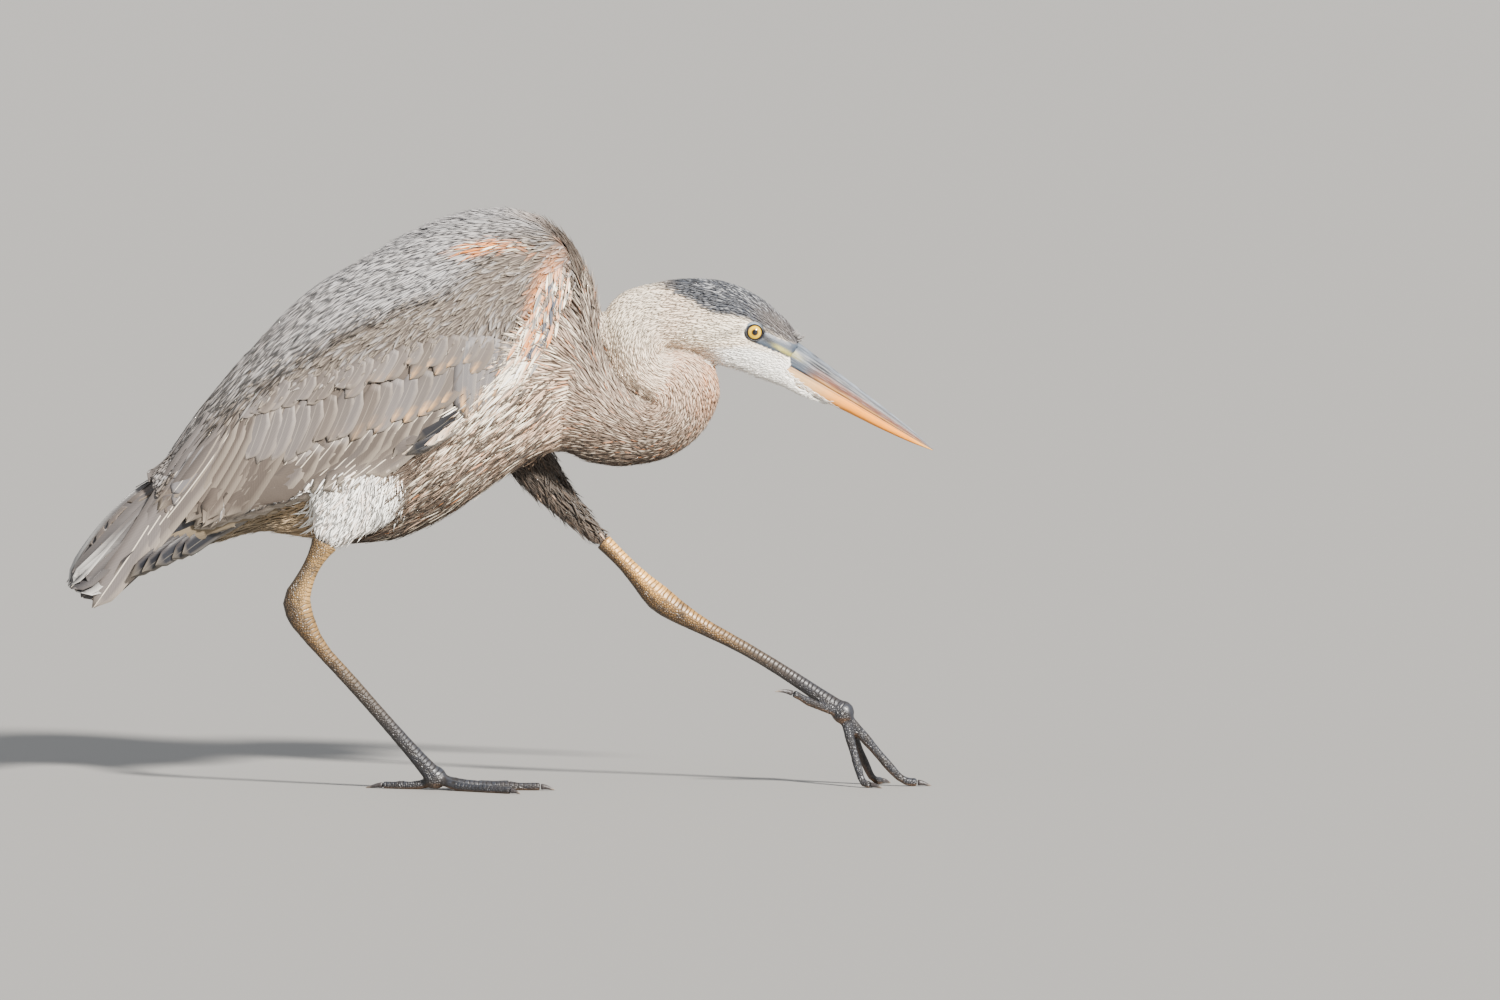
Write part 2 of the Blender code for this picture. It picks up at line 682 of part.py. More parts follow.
def toe_maker(knuckle, turn, length, radius, landed, lifted):
    """Gives the toe's centre, half depth and half width at a distance from the knuckle.

    The toe thins towards its tip and swells at its joints.
    """
    line = toe_line(knuckle, length, radius * TOE_TIP_SHARE * 1.1 - TOE_FLAT, landed, lifted)
    gone = [0.0]
    for (run, height), (next_run, next_height) in zip(line, line[1:]):
        gone.append(gone[-1] + math.hypot(next_run - run, next_height - height))
    way = Vector((math.cos(turn), math.sin(turn), 0))
    points = [Vector((knuckle.x, knuckle.y, height)) + way * run for run, height in line]

    def at(distance):
        share = max(distance, 0) / length
        swell = 1 + TOE_SWELL * math.cos(share * 2 * math.pi * TOE_WAVES)
        size = radius * (1 - (1 - TOE_TIP_SHARE) * share) * swell
        i = max(j for j, far in enumerate(gone) if far <= max(distance, 0))
        centre = points[i].lerp(points[i + 1], (distance - gone[i]) / (gone[i + 1] - gone[i]))
        centre.z = max(centre.z, size - TOE_FLAT)
        return centre, size * 1.05, size

    return at


def make_foot(side, knuckle, foot_turn, toe_spread, landed, lifted_hallux, name):
    """The knuckle with the roots of the toes, four toes and their claws."""
    toes, claws, roots = [], [], []
    for toe, (turn, length, radius, claw) in TOES.items():
        back = toe == "hallux"
        turn = math.radians((turn if back else turn * toe_spread) + foot_turn) * side
        at = toe_maker(knuckle, turn, length, radius, landed, lifted_hallux if back else None)
        roots.append(limb(f"root_{toe}", at, spread(0, TOE_ROOT, 2), TOE_SIDES, "foot_skin", first=False))
        joints = spread(TOE_ROOT, length, round(length / 10))
        toes.append(limb(f"toe_{toe}_{name}", at, joints, TOE_SIDES, "foot_skin", last=False))
        tip, _, size = at(length)
        way = (tip - at(length - 2)[0]).normalized()
        claws.append(make_claw(f"claw_{toe}_{name}", tip, way, size * CLAW_ROOT_SHARE, claw))

    ball = bmesh.new()
    bmesh.ops.create_uvsphere(ball, u_segments=12, v_segments=6, radius=1)
    points = [
        Vector((v.co.x * KNUCKLE_DEPTH, v.co.y * KNUCKLE_WIDTH, v.co.z * KNUCKLE_DEPTH)) + knuckle
        for v in ball.verts
    ]
    faces = [[v.index for v in face.verts] for face in ball.faces]
    ball.free()
    foot = solid("foot_" + name, points, faces, "foot_skin")
    for root in roots:
        change = foot.modifiers.new("join", "BOOLEAN")
        change.operation, change.solver, change.object = "UNION", "EXACT", root
        baked(foot)
        bpy.data.objects.remove(root)
    for piece in (foot, *toes, *claws):
        stand_flat(piece)
    return foot


def make_claw(name, root, way, radius, length):
    """A curved claw, thinning to a blunt point, bent down from the toe's end."""
    rings = []
    across = way.cross(Vector((0, 0, 1))).normalized()
    up = across.cross(way)
    steps = 4
    for i in range(steps + 1):
        t = i / steps
        centre = root + way * (CUT_GAP + length * t * (1 - 0.12 * t)) - up * (length * 0.26 * t * t)
        lean = way - up * (0.5 * t)
        lift = across.cross(lean.normalized())
        size = max(radius * (1 - t) ** 0.75, CLAW_TIP_RADIUS)
        centre.z = max(centre.z, size * 0.9)
        turns = [2 * math.pi * k / CLAW_SIDES for k in range(CLAW_SIDES)]
        rings.append([
            centre + across * (size * CLAW_WIDTH * math.sin(turn)) + lift * (size * math.cos(turn))
            for turn in turns
        ])
    return loft(name, rings, "claw_horn")


# ---- The whole bird --------------------------------------------------------------------------------------
def stand_on_origin():
    """Moves every object so that the origin is on the floor, at the middle of the model's box."""
    corners = [v.co for obj in bpy.context.scene.objects for v in obj.data.vertices]
    low = [min(c[k] for c in corners) for k in range(3)]
    high = [max(c[k] for c in corners) for k in range(3)]
    shift = Vector((-(low[0] + high[0]) / 2, -(low[1] + high[1]) / 2, -low[2]))
    for obj in bpy.context.scene.objects:
        obj.location = shift


def main():
    for obj in list(bpy.data.objects):
        bpy.data.objects.remove(obj)
    trunk = make_trunk()
    make_tail()
    wings = [make_wing(RIGHT, "wing_right"), make_wing(LEFT, "wing_left")]
    primaries = [make_primaries(RIGHT, "primaries_right"), make_primaries(LEFT, "primaries_left")]
    make_neck()
    make_head()
    for side, name, table, knuckle, bow, colour, turn, apart, landed, hallux in (
        (
            RIGHT,
            "right",
            RIGHT_LEG,
            RIGHT_KNUCKLE,
            RIGHT_TARSUS_BOW,
            "thigh_white",
            RIGHT_FOOT_TURN,
            RIGHT_TOE_SPREAD,
            RIGHT_TOE_LANDED,
            None,
        ),
        (
            LEFT,
            "left",
            LEFT_LEG,
            LEFT_KNUCKLE,
            LEFT_TARSUS_BOW,
            "thigh_brown",
            LEFT_FOOT_TURN,
            LEFT_TOE_SPREAD,
            LEFT_TOE_LANDED,
            LIFTED_HALLUX,
        ),
    ):
        thigh, _, tarsus = make_leg(table, knuckle, bow, colour, "leg_skin", name)
        cut(thigh, trunk, *wings, *primaries)
        foot = make_foot(side, knuckle, turn, apart, landed, hallux, name)
        cut(tarsus, foot)
    stand_on_origin()


main()
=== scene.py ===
"""The looks of a great blue heron in its first winter, stalking: skin, feathers, bill, eyes, legs and claws.

Lengths below are in millimetres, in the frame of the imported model: x runs towards the bill, y towards the
bird's left, z upwards. A heading is an angle in the side view, 0 towards the bill and 90 upwards.
"""

import json
import math

import bmesh
import bpy
import numpy as np
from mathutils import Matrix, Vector
from mathutils.bvhtree import BVHTree

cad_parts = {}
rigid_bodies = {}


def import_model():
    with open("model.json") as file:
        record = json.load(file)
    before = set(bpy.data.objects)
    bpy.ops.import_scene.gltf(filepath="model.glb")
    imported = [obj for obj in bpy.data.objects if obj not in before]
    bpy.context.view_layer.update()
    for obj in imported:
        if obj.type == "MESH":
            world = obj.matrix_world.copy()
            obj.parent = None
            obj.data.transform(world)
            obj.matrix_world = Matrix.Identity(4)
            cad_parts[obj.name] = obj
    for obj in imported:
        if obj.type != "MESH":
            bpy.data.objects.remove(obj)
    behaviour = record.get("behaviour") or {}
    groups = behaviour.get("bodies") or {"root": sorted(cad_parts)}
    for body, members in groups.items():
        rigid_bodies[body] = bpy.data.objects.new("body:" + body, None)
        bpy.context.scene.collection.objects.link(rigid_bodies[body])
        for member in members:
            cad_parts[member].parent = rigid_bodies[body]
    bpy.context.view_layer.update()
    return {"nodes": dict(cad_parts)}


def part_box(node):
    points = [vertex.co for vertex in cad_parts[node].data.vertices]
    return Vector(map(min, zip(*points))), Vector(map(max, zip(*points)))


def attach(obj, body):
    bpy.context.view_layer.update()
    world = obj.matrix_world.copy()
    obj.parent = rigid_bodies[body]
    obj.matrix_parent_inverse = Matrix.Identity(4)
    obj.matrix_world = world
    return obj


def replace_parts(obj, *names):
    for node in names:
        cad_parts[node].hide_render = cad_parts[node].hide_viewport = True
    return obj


for leftover in list(bpy.data.objects):
    bpy.data.objects.remove(leftover)
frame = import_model()

MM = 0.001
RIGHT, LEFT = -1, 1
SIDES = {"right": RIGHT, "left": LEFT}
chance = np.random.default_rng(27)

# ---- Colours ----


def tone(red, green, blue):
    """A linear colour from the usual 0 to 255 numbers."""
    share = np.array((red, green, blue)) / 255
    return np.where(share <= 0.04045, share / 12.92, ((share + 0.055) / 1.055) ** 2.4)


DRAB = tone(82, 72, 64)
PEWTER = tone(100, 97, 98)
SLATE = tone(54, 59, 69)
ASH = tone(152, 150, 151)
MOUSE = tone(120, 107, 98)
DUSK = tone(82, 71, 63)
BARK = tone(68, 50, 34)
FAWN = tone(204, 172, 146)
SAND = tone(238, 222, 200)
CREAM = tone(246, 234, 212)
CHALK = tone(253, 251, 245)
RUFOUS = tone(204, 118, 34)
BUFF = tone(226, 172, 104)
STRAW = tone(184, 156, 106)
INK = tone(22, 23, 28)
SILVER = tone(186, 188, 192)

# ---- Curves and blends ----


def ease(low, high, at):
    """0 below low, 1 above high, and a smooth step between them."""
    share = np.clip((np.asarray(at, float) - low) / (high - low), 0, 1)
    return share * share * (3 - 2 * share)


def unit(vectors):
    """The vectors, each one long."""
    return vectors / np.maximum(np.linalg.norm(vectors, axis=-1, keepdims=True), 1e-9)


def level(line, x):
    """The height of a side-view line, given from rear to front, over x."""
    return np.interp(x, [p[0] for p in line], [p[1] for p in line])


def along_line(line, shares):
    """Points at these shares of a line's length."""
    line = np.array(line, float)
    run = np.concatenate(([0], np.cumsum(np.linalg.norm(np.diff(line, axis=0), axis=1))))
    at = np.asarray(shares) * run[-1]
    return np.stack([np.interp(at, run, line[:, k]) for k in range(line.shape[1])], -1)


def spot(points, x, z, length, height, turn, soft):
    """1 inside an ellipse in the side view, falling to 0 over its soft rim."""
    c, s = math.cos(math.radians(turn)), math.sin(math.radians(turn))
    dx, dz = points[:, 0] - x, points[:, 2] - z
    far = np.hypot((dx * c + dz * s) / length, (dz * c - dx * s) / height)
    return 1 - ease(1 - soft, 1 + soft, far)


def bell(off, wide, power=2):
    """1 where off is 0, falling to 0 on both sides over about this width."""
    return np.exp(-((off / wide) ** power))


def mixed(base, colour, share):
    """A colour, or one a point, with a share of another colour in it."""
    share = np.asarray(share)[..., None]
    return base * (1 - share) + np.asarray(colour) * share


def layered(base, *coats):
    """A colour, or one a point, with coats of (colour, share) laid over it in turn."""
    for colour, share in coats:
        base = mixed(base, colour, share)
    return base


def on_path(points, path):
    """How far along a path the nearest place to each point is, and the offset from the path there."""
    path = np.array(path, float)
    best, run, off = np.full(len(points), 1e9), np.zeros(len(points)), np.zeros_like(points)
    start = 0.0
    for a, b in zip(path[:-1], path[1:]):
        size = np.linalg.norm(b - a)
        share = np.clip(((points - a) @ (b - a)) / size**2, 0, 1)
        away = points - a - (b - a) * share[:, None]
        far = np.linalg.norm(away, axis=1)
        nearer = far < best
        best, run = np.where(nearer, far, best), np.where(nearer, start + size * share, run)
        off = np.where(nearer[:, None], away, off)
        start += size
    return run, off


# ---- Meshes ----


def placed(name, data):
    """A new object of the scene."""
    thing = bpy.data.objects.new(name, data)
    bpy.context.scene.collection.objects.link(thing)
    return thing


def mesh_of(name, points, faces, materials, **attributes):
    """A mesh object from arrays in millimetres. A face array may have three or four columns."""
    groups = [np.asarray(f, np.int32) for f in (faces if isinstance(faces, (list, tuple)) else [faces])]
    groups = [f for f in groups if len(f)]
    mesh = bpy.data.meshes.new(name)
    mesh.vertices.add(len(points))
    mesh.vertices.foreach_set("co", (np.asarray(points) * MM).astype(np.float32).ravel())
    corners = np.concatenate([f.ravel() for f in groups])
    sizes = np.concatenate([np.full(len(f), f.shape[1]) for f in groups])
    mesh.loops.add(len(corners))
    mesh.loops.foreach_set("vertex_index", corners)
    mesh.polygons.add(len(sizes))
    mesh.polygons.foreach_set("loop_start", np.concatenate(([0], np.cumsum(sizes)[:-1])))
    for key, values in attributes.items():
        if key == "patch":
            layer = mesh.uv_layers.new(name="OFBake")
            layer.data.foreach_set("uv", values[corners].astype(np.float32).ravel())
        elif key == "tint":
            colour = np.ones((len(points), 4), np.float32)
            colour[:, :3] = values
            mesh.attributes.new("tint", "FLOAT_COLOR", "POINT").data.foreach_set("color", colour.ravel())
        elif key == "finish":
            mesh.polygons.foreach_set("material_index", np.asarray(values, np.int32))
        else:
            layer = mesh.attributes.new(key, "FLOAT_VECTOR", "POINT")
            layer.data.foreach_set("vector", np.asarray(values, np.float32).ravel())
    mesh.update(calc_edges=True)
    mesh.validate()
    mesh.shade_smooth()
    for material in materials:
        mesh.materials.append(material)
    return placed(name, mesh)


def merged(node, swell=0.0):
    """A welded copy of a node's mesh, pushed outwards by swell."""
    mesh = bmesh.new()
    mesh.from_mesh(frame["nodes"][node].data)
    bmesh.ops.remove_doubles(mesh, verts=mesh.verts, dist=1e-5)
    mesh.normal_update()
    for vertex in mesh.verts:
        vertex.co += vertex.normal * swell * MM
    return mesh


def reshaped(mesh, kind, **settings):
    """The mesh that a modifier of this kind makes of a mesh."""
    holder = placed(mesh.name, mesh)
    modifier = holder.modifiers.new(kind.title(), kind)
    for key, value in settings.items():
        setattr(modifier, key, value)
    shape = bpy.data.meshes.new_from_object(holder.evaluated_get(bpy.context.evaluated_depsgraph_get()))
    bpy.data.objects.remove(holder)
    return shape


def fused(nodes, voxel, swell):
    """The mesh of one closed form that several nodes make together."""
    whole = bpy.data.meshes.new("whole")
    joined = bmesh.new()
    for node in nodes:
        part = merged(node, swell)
        part.to_mesh(whole)
        part.free()
        joined.from_mesh(whole)
    joined.to_mesh(whole)
    joined.free()
    return reshaped(whole, "REMESH", mode="VOXEL", voxel_size=voxel * MM)


def turned_outwards(piece):
    """The piece, with all of its faces looking out."""
    mesh = bmesh.new()
    mesh.from_mesh(piece.data)
    bmesh.ops.recalc_face_normals(mesh, faces=mesh.faces)
    mesh.to_mesh(piece.data)
    mesh.free()
    return piece


def arrays(shape):
    """A mesh's points in millimetres, and its faces as triangles."""
    points = np.empty(len(shape.vertices) * 3)
    shape.vertices.foreach_get("co", points)
    shape.calc_loop_triangles()
    faces = np.empty(len(shape.loop_triangles) * 3, np.int32)
    shape.loop_triangles.foreach_get("vertices", faces)
    return points.reshape(-1, 3) / MM, faces.reshape(-1, 3)


def stacked(points, faces):
    """The points and faces of several meshes as those of one."""
    starts = np.cumsum([0] + [len(some) for some in points[:-1]])
    return np.concatenate(points), np.concatenate([some + start for some, start in zip(faces, starts)])


def ring_faces(rows, count):
    """Faces between closed rows of count points."""
    turn = np.arange(count)
    start = np.arange(rows - 1)[:, None] * count
    here, following = start + turn, start + (turn + 1) % count
    return np.stack([here, following, following + count, here + count], 2).reshape(-1, 4)


def outer_shell(points, faces):
    """The points and faces of the largest connected part, without hollows sealed up inside it."""
    group = np.arange(len(points))
    while True:
        low = group[faces].min(1)
        before = group.copy()
        for k in range(3):
            np.minimum.at(group, faces[:, k], low)
        group = group[group]
        if (group == before).all():
            break
    kept = group == np.bincount(group).argmax()
    index = np.cumsum(kept) - 1
    return points[kept], index[faces[kept[faces[:, 0]]]]


def settled(piece):
    """The piece, fixed to the bird."""
    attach(piece, "root")
    return piece


class Surface:
    """A triangle surface that feathers are laid on."""

    def __init__(self, points, faces):
        self.points, self.faces = points, faces
        self.tree = BVHTree.FromPolygons(points.tolist(), faces.tolist())
        edges = np.concatenate([faces[:, [0, 1]], faces[:, [1, 2]], faces[:, [2, 0]]])
        self.edges = np.unique(np.sort(edges, 1), axis=0)
        self.normals = self.corner_normals()

    def corner_normals(self):
        """The smooth normal at each point."""
        a, b, c = (self.points[self.faces[:, k]] for k in range(3))
        cross = np.cross(b - a, c - a)
        normals = np.zeros_like(self.points)
        for k in range(3):
            np.add.at(normals, self.faces[:, k], cross)
        return unit(normals)

    def evened(self, values, times, share=0.5):
        """Values at the points, each drawn towards its neighbours' mean."""
        values = np.array(values, float)
        count = np.bincount(self.edges.ravel(), minlength=len(self.points)).astype(float)
        for _ in range(times):
            total = np.zeros_like(values)
            np.add.at(total, self.edges[:, 0], values[self.edges[:, 1]])
            np.add.at(total, self.edges[:, 1], values[self.edges[:, 0]])
            mean = total / (count if values.ndim == 1 else count[:, None])
            values += (mean - values) * share
        return values

    def nearest(self, points):
        """The closest place on the surface, and its smooth normal, for each point."""
        spots = np.empty_like(points)
        corners = np.empty((len(points), 3), np.int64)
        for k, point in enumerate(points.tolist()):
            spots[k], _, face, _ = self.tree.find_nearest(point)
            corners[k] = self.faces[face]
        weight = 1 / (np.linalg.norm(self.points[corners] - spots[:, None], axis=2) + 0.05)
        return spots, unit((self.normals[corners] * weight[..., None]).sum(1))

    def from_side(self, side, places):
        """Points and normals where lines across the bird at these x, z places meet that side of it."""
        spots = np.empty((len(places), 3))
        for k, (x, z) in enumerate(places.tolist()):
            hit = self.tree.ray_cast((x, side * 200, z), (0, -side, 0))
            spots[k] = hit[0] if hit[0] is not None else self.tree.find_nearest((x, side * 40, z))[0]
        return self.nearest(spots)


# ---- The bird's form ----
BODY = ["trunk", "neck_base", "neck_front", "neck_back", "head"]
BODY += ["wing_right", "wing_left", "thigh_right", "thigh_left"]
TOES = ("hallux", "inner", "middle", "outer")
LEG_PARTS = ["shank", "tarsus", "foot"] + [f"toe_{toe}" for toe in TOES]
LEGS = [f"{part}_{side}" for side in SIDES for part in LEG_PARTS]
LOWER_FOLD = (122.3, 313.6)  # the axis of the neck's front bend
UPPER_FOLD = (135.9, 353.6)  # the axis of the bend behind the head
EYE_RADIUS = 10.0
FOLDS = (  # where the bent neck lies against itself, seen from the side
    ((84, 362), (86, 352), (91, 340), (97.5, 328), (105.5, 319), (113.5, 314.5), (124, 311)),
    ((130, 352), (139, 353.6), (157.5, 351), (166, 345)),
)


def centre_of(node):
    """The middle of a node."""
    low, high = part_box(node)
    return np.array((low + high) / 2) / MM


def off_folds(points):
    """How far each point is from the neck's folds in the side view."""
    return np.minimum(*(np.linalg.norm(on_path(points[:, [0, 2]], fold)[1], axis=1) for fold in FOLDS))


def off_eyes(points):
    """How far each point is from the outer face of the nearer eye."""
    outer_faces = (centre_of(f"eye_{side}") * (1, 1.75, 1) for side in SIDES)
    return np.minimum(*(np.linalg.norm(points - place, axis=1) for place in outer_faces))


def labels_for(points, nodes):
    """The index in nodes of the node whose surface is nearest to each point."""
    meshes = [arrays(frame["nodes"][node].data) for node in nodes]
    owner = np.repeat(np.arange(len(nodes)), [len(faces) for _, faces in meshes])
    every_point, every_face = stacked(*zip(*meshes))
    tree = BVHTree.FromPolygons(every_point.tolist(), every_face.tolist())
    return np.array([owner[tree.find_nearest(p)[2]] for p in points.tolist()])


COAT_DEPTH = {
    "trunk": 2.6, "neck_base": 2.2, "neck_front": 1.9, "neck_back": 1.7, "head": 1.2, "wing_right": 3.0,
    "wing_left": 3.0, "thigh_right": 3.2, "thigh_left": 2.4, "eye_right": 3.2, "eye_left": 3.2,
    "bill_upper": 1.5, "bill_lower": 1.5,
}
# The gape, from the eye to the bill.
BARE_LORE = ((199.0, 359.0), (207.0, 357.5), (222.0, 351.5), (244.0, 342.0))


def body_form():
    """The outer form of the feathered body, finer at the head, before the coat's depth is taken off."""
    shape = fused(BODY + ["eye_right", "eye_left"], 3.0, 0.35)
    mesh = bmesh.new()
    mesh.from_mesh(shape)
    spots = np.array([v.co for v in mesh.verts]) / MM
    fine = (spots[:, 0] > 172) & (spots[:, 2] > 290) | (off_folds(spots) < 5)
    fine = [e for e in mesh.edges if all(fine[v.index] for v in e.verts)]
    bmesh.ops.subdivide_edges(mesh, edges=fine, cuts=1, use_grid_fill=True)
    bmesh.ops.triangulate(mesh, faces=mesh.faces)
    mesh.to_mesh(shape)
    mesh.free()
    points, faces = outer_shell(*arrays(shape))
    surface = Surface(points, faces)
    return Surface(surface.evened(points, 7, 0.55), faces)


def marks_of_head(points):
    """How bare the face is: 1 on the lore and round the eye, 0 where feathers grow."""
    gape = level(BARE_LORE, points[:, 0])
    crown = level(((196, 377), (206, 372), (215, 367), (226, 361.5), (238, 357.5), (250, 352)), points[:, 0])
    wedge = ease(gape - 1.5, gape + 0.5, points[:, 2]) * (1 - ease(crown - 1, crown + 1, points[:, 2]))
    wedge *= ease(203, 207, points[:, 0])
    return np.maximum(wedge, 1 - ease(7.0, 8.0, off_eyes(points)))


def skin_of(form, names, labels):
    """The form sunk by the coat's depth, with the eye sockets, the gape and the folds of the face."""
    depth = np.array([COAT_DEPTH[n] for n in names])[labels]
    bare = marks_of_head(form.points)
    depth = np.where(labels == names.index("head"), depth * (1 - bare), depth)
    inward = form.points - form.normals * 0.2
    room = [form.tree.ray_cast(p, tuple(-n))[3] or 30.0 for p, n in zip(inward.tolist(), form.normals)]
    depth = form.evened(np.minimum(depth, np.maximum(np.array(room) * 0.3, 0.1)), 3)
    points = form.points - form.normals * depth[:, None]
    gape = level(BARE_LORE, points[:, 0])
    crease = bell(points[:, 2] - gape, 0.9) * ease(199, 203, points[:, 0]) * (points[:, 0] < 246)
    fold = bell(off_folds(points), 1.9) * ease(0.2, 0.6, np.abs(form.normals[:, 1]))
    return points - form.normals * (crease * 0.7 + fold * 2.2)[:, None]


# ---- The lie of the feathers ----
LIE = {  # x, z and heading of the feathers that grow there
    "head": (
        (243, 350, 150), (240, 358, 138), (222, 378, 133), (205, 392, 150), (186, 403, 170),
        (162, 407, 180), (137, 406, 186), (200, 350, 172), (185, 365, 182), (160, 380, 186),
        (138, 380, 192), (262, 311, 158), (240, 322, 157), (215, 336, 160), (195, 344, 165),
        (178, 345, 172), (158, 356, 184), (205, 358, 170),
    ),
    "neck_base": (
        (112, 300, 150), (112, 268, 172), (95, 262, 178), (98, 315, 128), (82, 345, 118), (72, 300, 158),
        (60, 268, 184), (84, 380, 114), (66, 430, 122), (66, 350, 132),
    ),
    "trunk": (
        (50, 455, 136), (20, 466, 170), (0, 466, 180), (-50, 453, 196), (-100, 430, 205),
        (-150, 395, 216), (-200, 350, 225), (-240, 300, 230), (62, 360, 142), (54, 380, 138),
        (56, 330, 178), (40, 300, 212), (44, 275, 200), (15, 285, 222), (-10, 292, 226), (0, 264, 208),
        (-40, 250, 210), (-80, 235, 208), (-120, 215, 203), (-160, 214, 198), (-220, 195, 198),
        (-290, 180, 200), (-60, 266, 226), (-95, 250, 222),
    ),
    "thigh_right": (
        (-110, 262, 238), (-80, 250, 250), (-92, 225, 250), (-130, 225, 238), (-160, 215, 222),
        (-140, 200, 240),
    ),
    "thigh_left": ((15, 285, 292), (40, 240, 306), (65, 210, 310), (84, 196, 311)),
    "wing": (
        (50, 432, 205), (20, 444, 186), (-20, 452, 190), (-60, 442, 200), (-110, 415, 208),
        (-160, 375, 220), (-210, 325, 228), (-250, 270, 233), (52, 405, 222), (40, 380, 232),
        (20, 400, 216), (0, 425, 204), (0, 370, 240), (-15, 330, 262), (-30, 390, 222), (-60, 400, 208),
        (-60, 340, 240), (-110, 370, 216), (-120, 320, 232), (-170, 330, 222), (-200, 280, 228),
        (-150, 270, 226), (-240, 235, 230),
    ),
}
LIE["wing_right"] = LIE["wing_left"] = LIE["wing"]


def lie(points, normals, region):
    """The way that feathers point along the surface."""
    way = np.zeros_like(points)
    if region == "neck_back":
        way[:, 0], way[:, 2] = -(points[:, 2] - UPPER_FOLD[1]), points[:, 0] - UPPER_FOLD[0]
    elif region == "neck_front":
        way[:, 0], way[:, 2] = points[:, 2] - LOWER_FOLD[1], -(points[:, 0] - LOWER_FOLD[0])
    else:
        table = np.array(LIE[region], float)
        far = (points[:, None, 0] - table[:, 0]) ** 2 + (points[:, None, 2] - table[:, 1]) ** 2
        weight = 1 / (far + 60) ** 1.6
        turn = np.radians(table[:, 2])
        way[:, 0], way[:, 2] = (weight * np.cos(turn)).sum(1), (weight * np.sin(turn)).sum(1)
    way = unit(way)
    way -= normals * (way * normals).sum(1, keepdims=True)
    return unit(way)


def turned(way, normals, angles):
    """Directions turned about their normals, in radians."""
    angles = np.asarray(angles)[..., None]
    return way * np.cos(angles) + np.cross(normals, way) * np.sin(angles)


TRIES = 4.5  # places tried for each root that there is room for
CLOSEST = 0.82  # the least gap between roots, as a share of the spacing


def scattered(surface, chosen, spacing):
    """Evenly spread root points over the chosen faces. The spacing may differ from face to face."""
    faces = surface.faces[chosen]
    apart = np.broadcast_to(spacing, len(surface.faces))[chosen]
    a, b, c = (surface.points[faces[:, k]] for k in range(3))
    area = np.linalg.norm(np.cross(b - a, c - a), axis=1) / 2
    want = area / apart**2 * TRIES
    count = np.floor(want + chance.random(len(want))).astype(int)
    pick = np.repeat(np.arange(len(faces)), count)
    chance.shuffle(pick)
    u, v = chance.random(len(pick)), chance.random(len(pick))
    u, v = np.where(u + v > 1, 1 - u, u), np.where(u + v > 1, 1 - v, v)
    points = a[pick] + (b - a)[pick] * u[:, None] + (c - a)[pick] * v[:, None]
    gap = apart[pick] * CLOSEST
    cell = float(apart.max())
    kept, grid = [], {}
    for k, (point, need) in enumerate(zip(points.tolist(), gap.tolist())):
        at = tuple(math.floor(value / cell) for value in point)
        near = [
            other
            for dx in (-1, 0, 1)
            for dy in (-1, 0, 1)
            for dz in (-1, 0, 1)
            for other in grid.get((at[0] + dx, at[1] + dy, at[2] + dz), ())
        ]
        x, y, z = point
        if all((x - p) ** 2 + (y - q) ** 2 + (z - r) ** 2 > need * need for p, q, r in near):
            grid.setdefault(at, []).append(point)
            kept.append(k)
    return points[kept]


def laid(surface, roots, region, lengths, steps, sway, lift):
    """Places, normals and ways at the stations of feathers that follow the surface from their roots."""
    places, normals, ways = [], [], []
    spots, normal = surface.nearest(roots)
    for k in range(steps):
        way = turned(lie(spots, normal, region), normal, sway * (1 - 0.3 * k / steps))
        places.append(spots + normal * lift(k / (steps - 1))[:, None])
        normals.append(normal)
        ways.append(way)
        if k < steps - 1:
            spots, normal = surface.nearest(spots + way * (lengths / (steps - 1))[:, None])
    return np.stack(places, 1), np.stack(normals, 1), np.stack(ways, 1)


BLADE_WIDTHS = {4: (0.55, 1.0, 0.8), 5: (0.5, 0.95, 1.0, 0.65)}


def blades(places, normals, ways, widths, thick):
    """Closed three-sided blades: points, faces, along, across and the number of points of one blade."""
    count, steps = places.shape[:2]
    sides = unit(np.cross(normals, ways))
    half = (widths[:, None] / 2 * np.array(BLADE_WIDTHS[steps]))[..., None]
    body, up = places[:, :-1], normals[:, :-1]
    left = body - sides[:, :-1] * half
    right = body + sides[:, :-1] * half
    ridge = body + up * thick[:, None, None]
    rings = np.stack([left, ridge, right], 2).reshape(count, -1, 3)
    points = np.concatenate([rings, places[:, -1:]], 1)
    per = points.shape[1]
    tris = [(2, 1, 0)]
    for j in range(3):
        tris.append((3 * (steps - 2) + j, 3 * (steps - 2) + (j + 1) % 3, per - 1))
    start = (np.arange(count) * per)[:, None, None]
    faces = [(ring_faces(steps - 1, 3) + start).reshape(-1, 4), (np.array(tris) + start).reshape(-1, 3)]
    along = np.concatenate([np.repeat(np.arange(steps - 1), 3), [steps - 1]]) / (steps - 1)
    across = np.concatenate([np.tile((-1.0, 0.0, 1.0), steps - 1), [0.0]])
    return points.reshape(-1, 3), faces, np.tile(along, count), np.tile(across, count), per


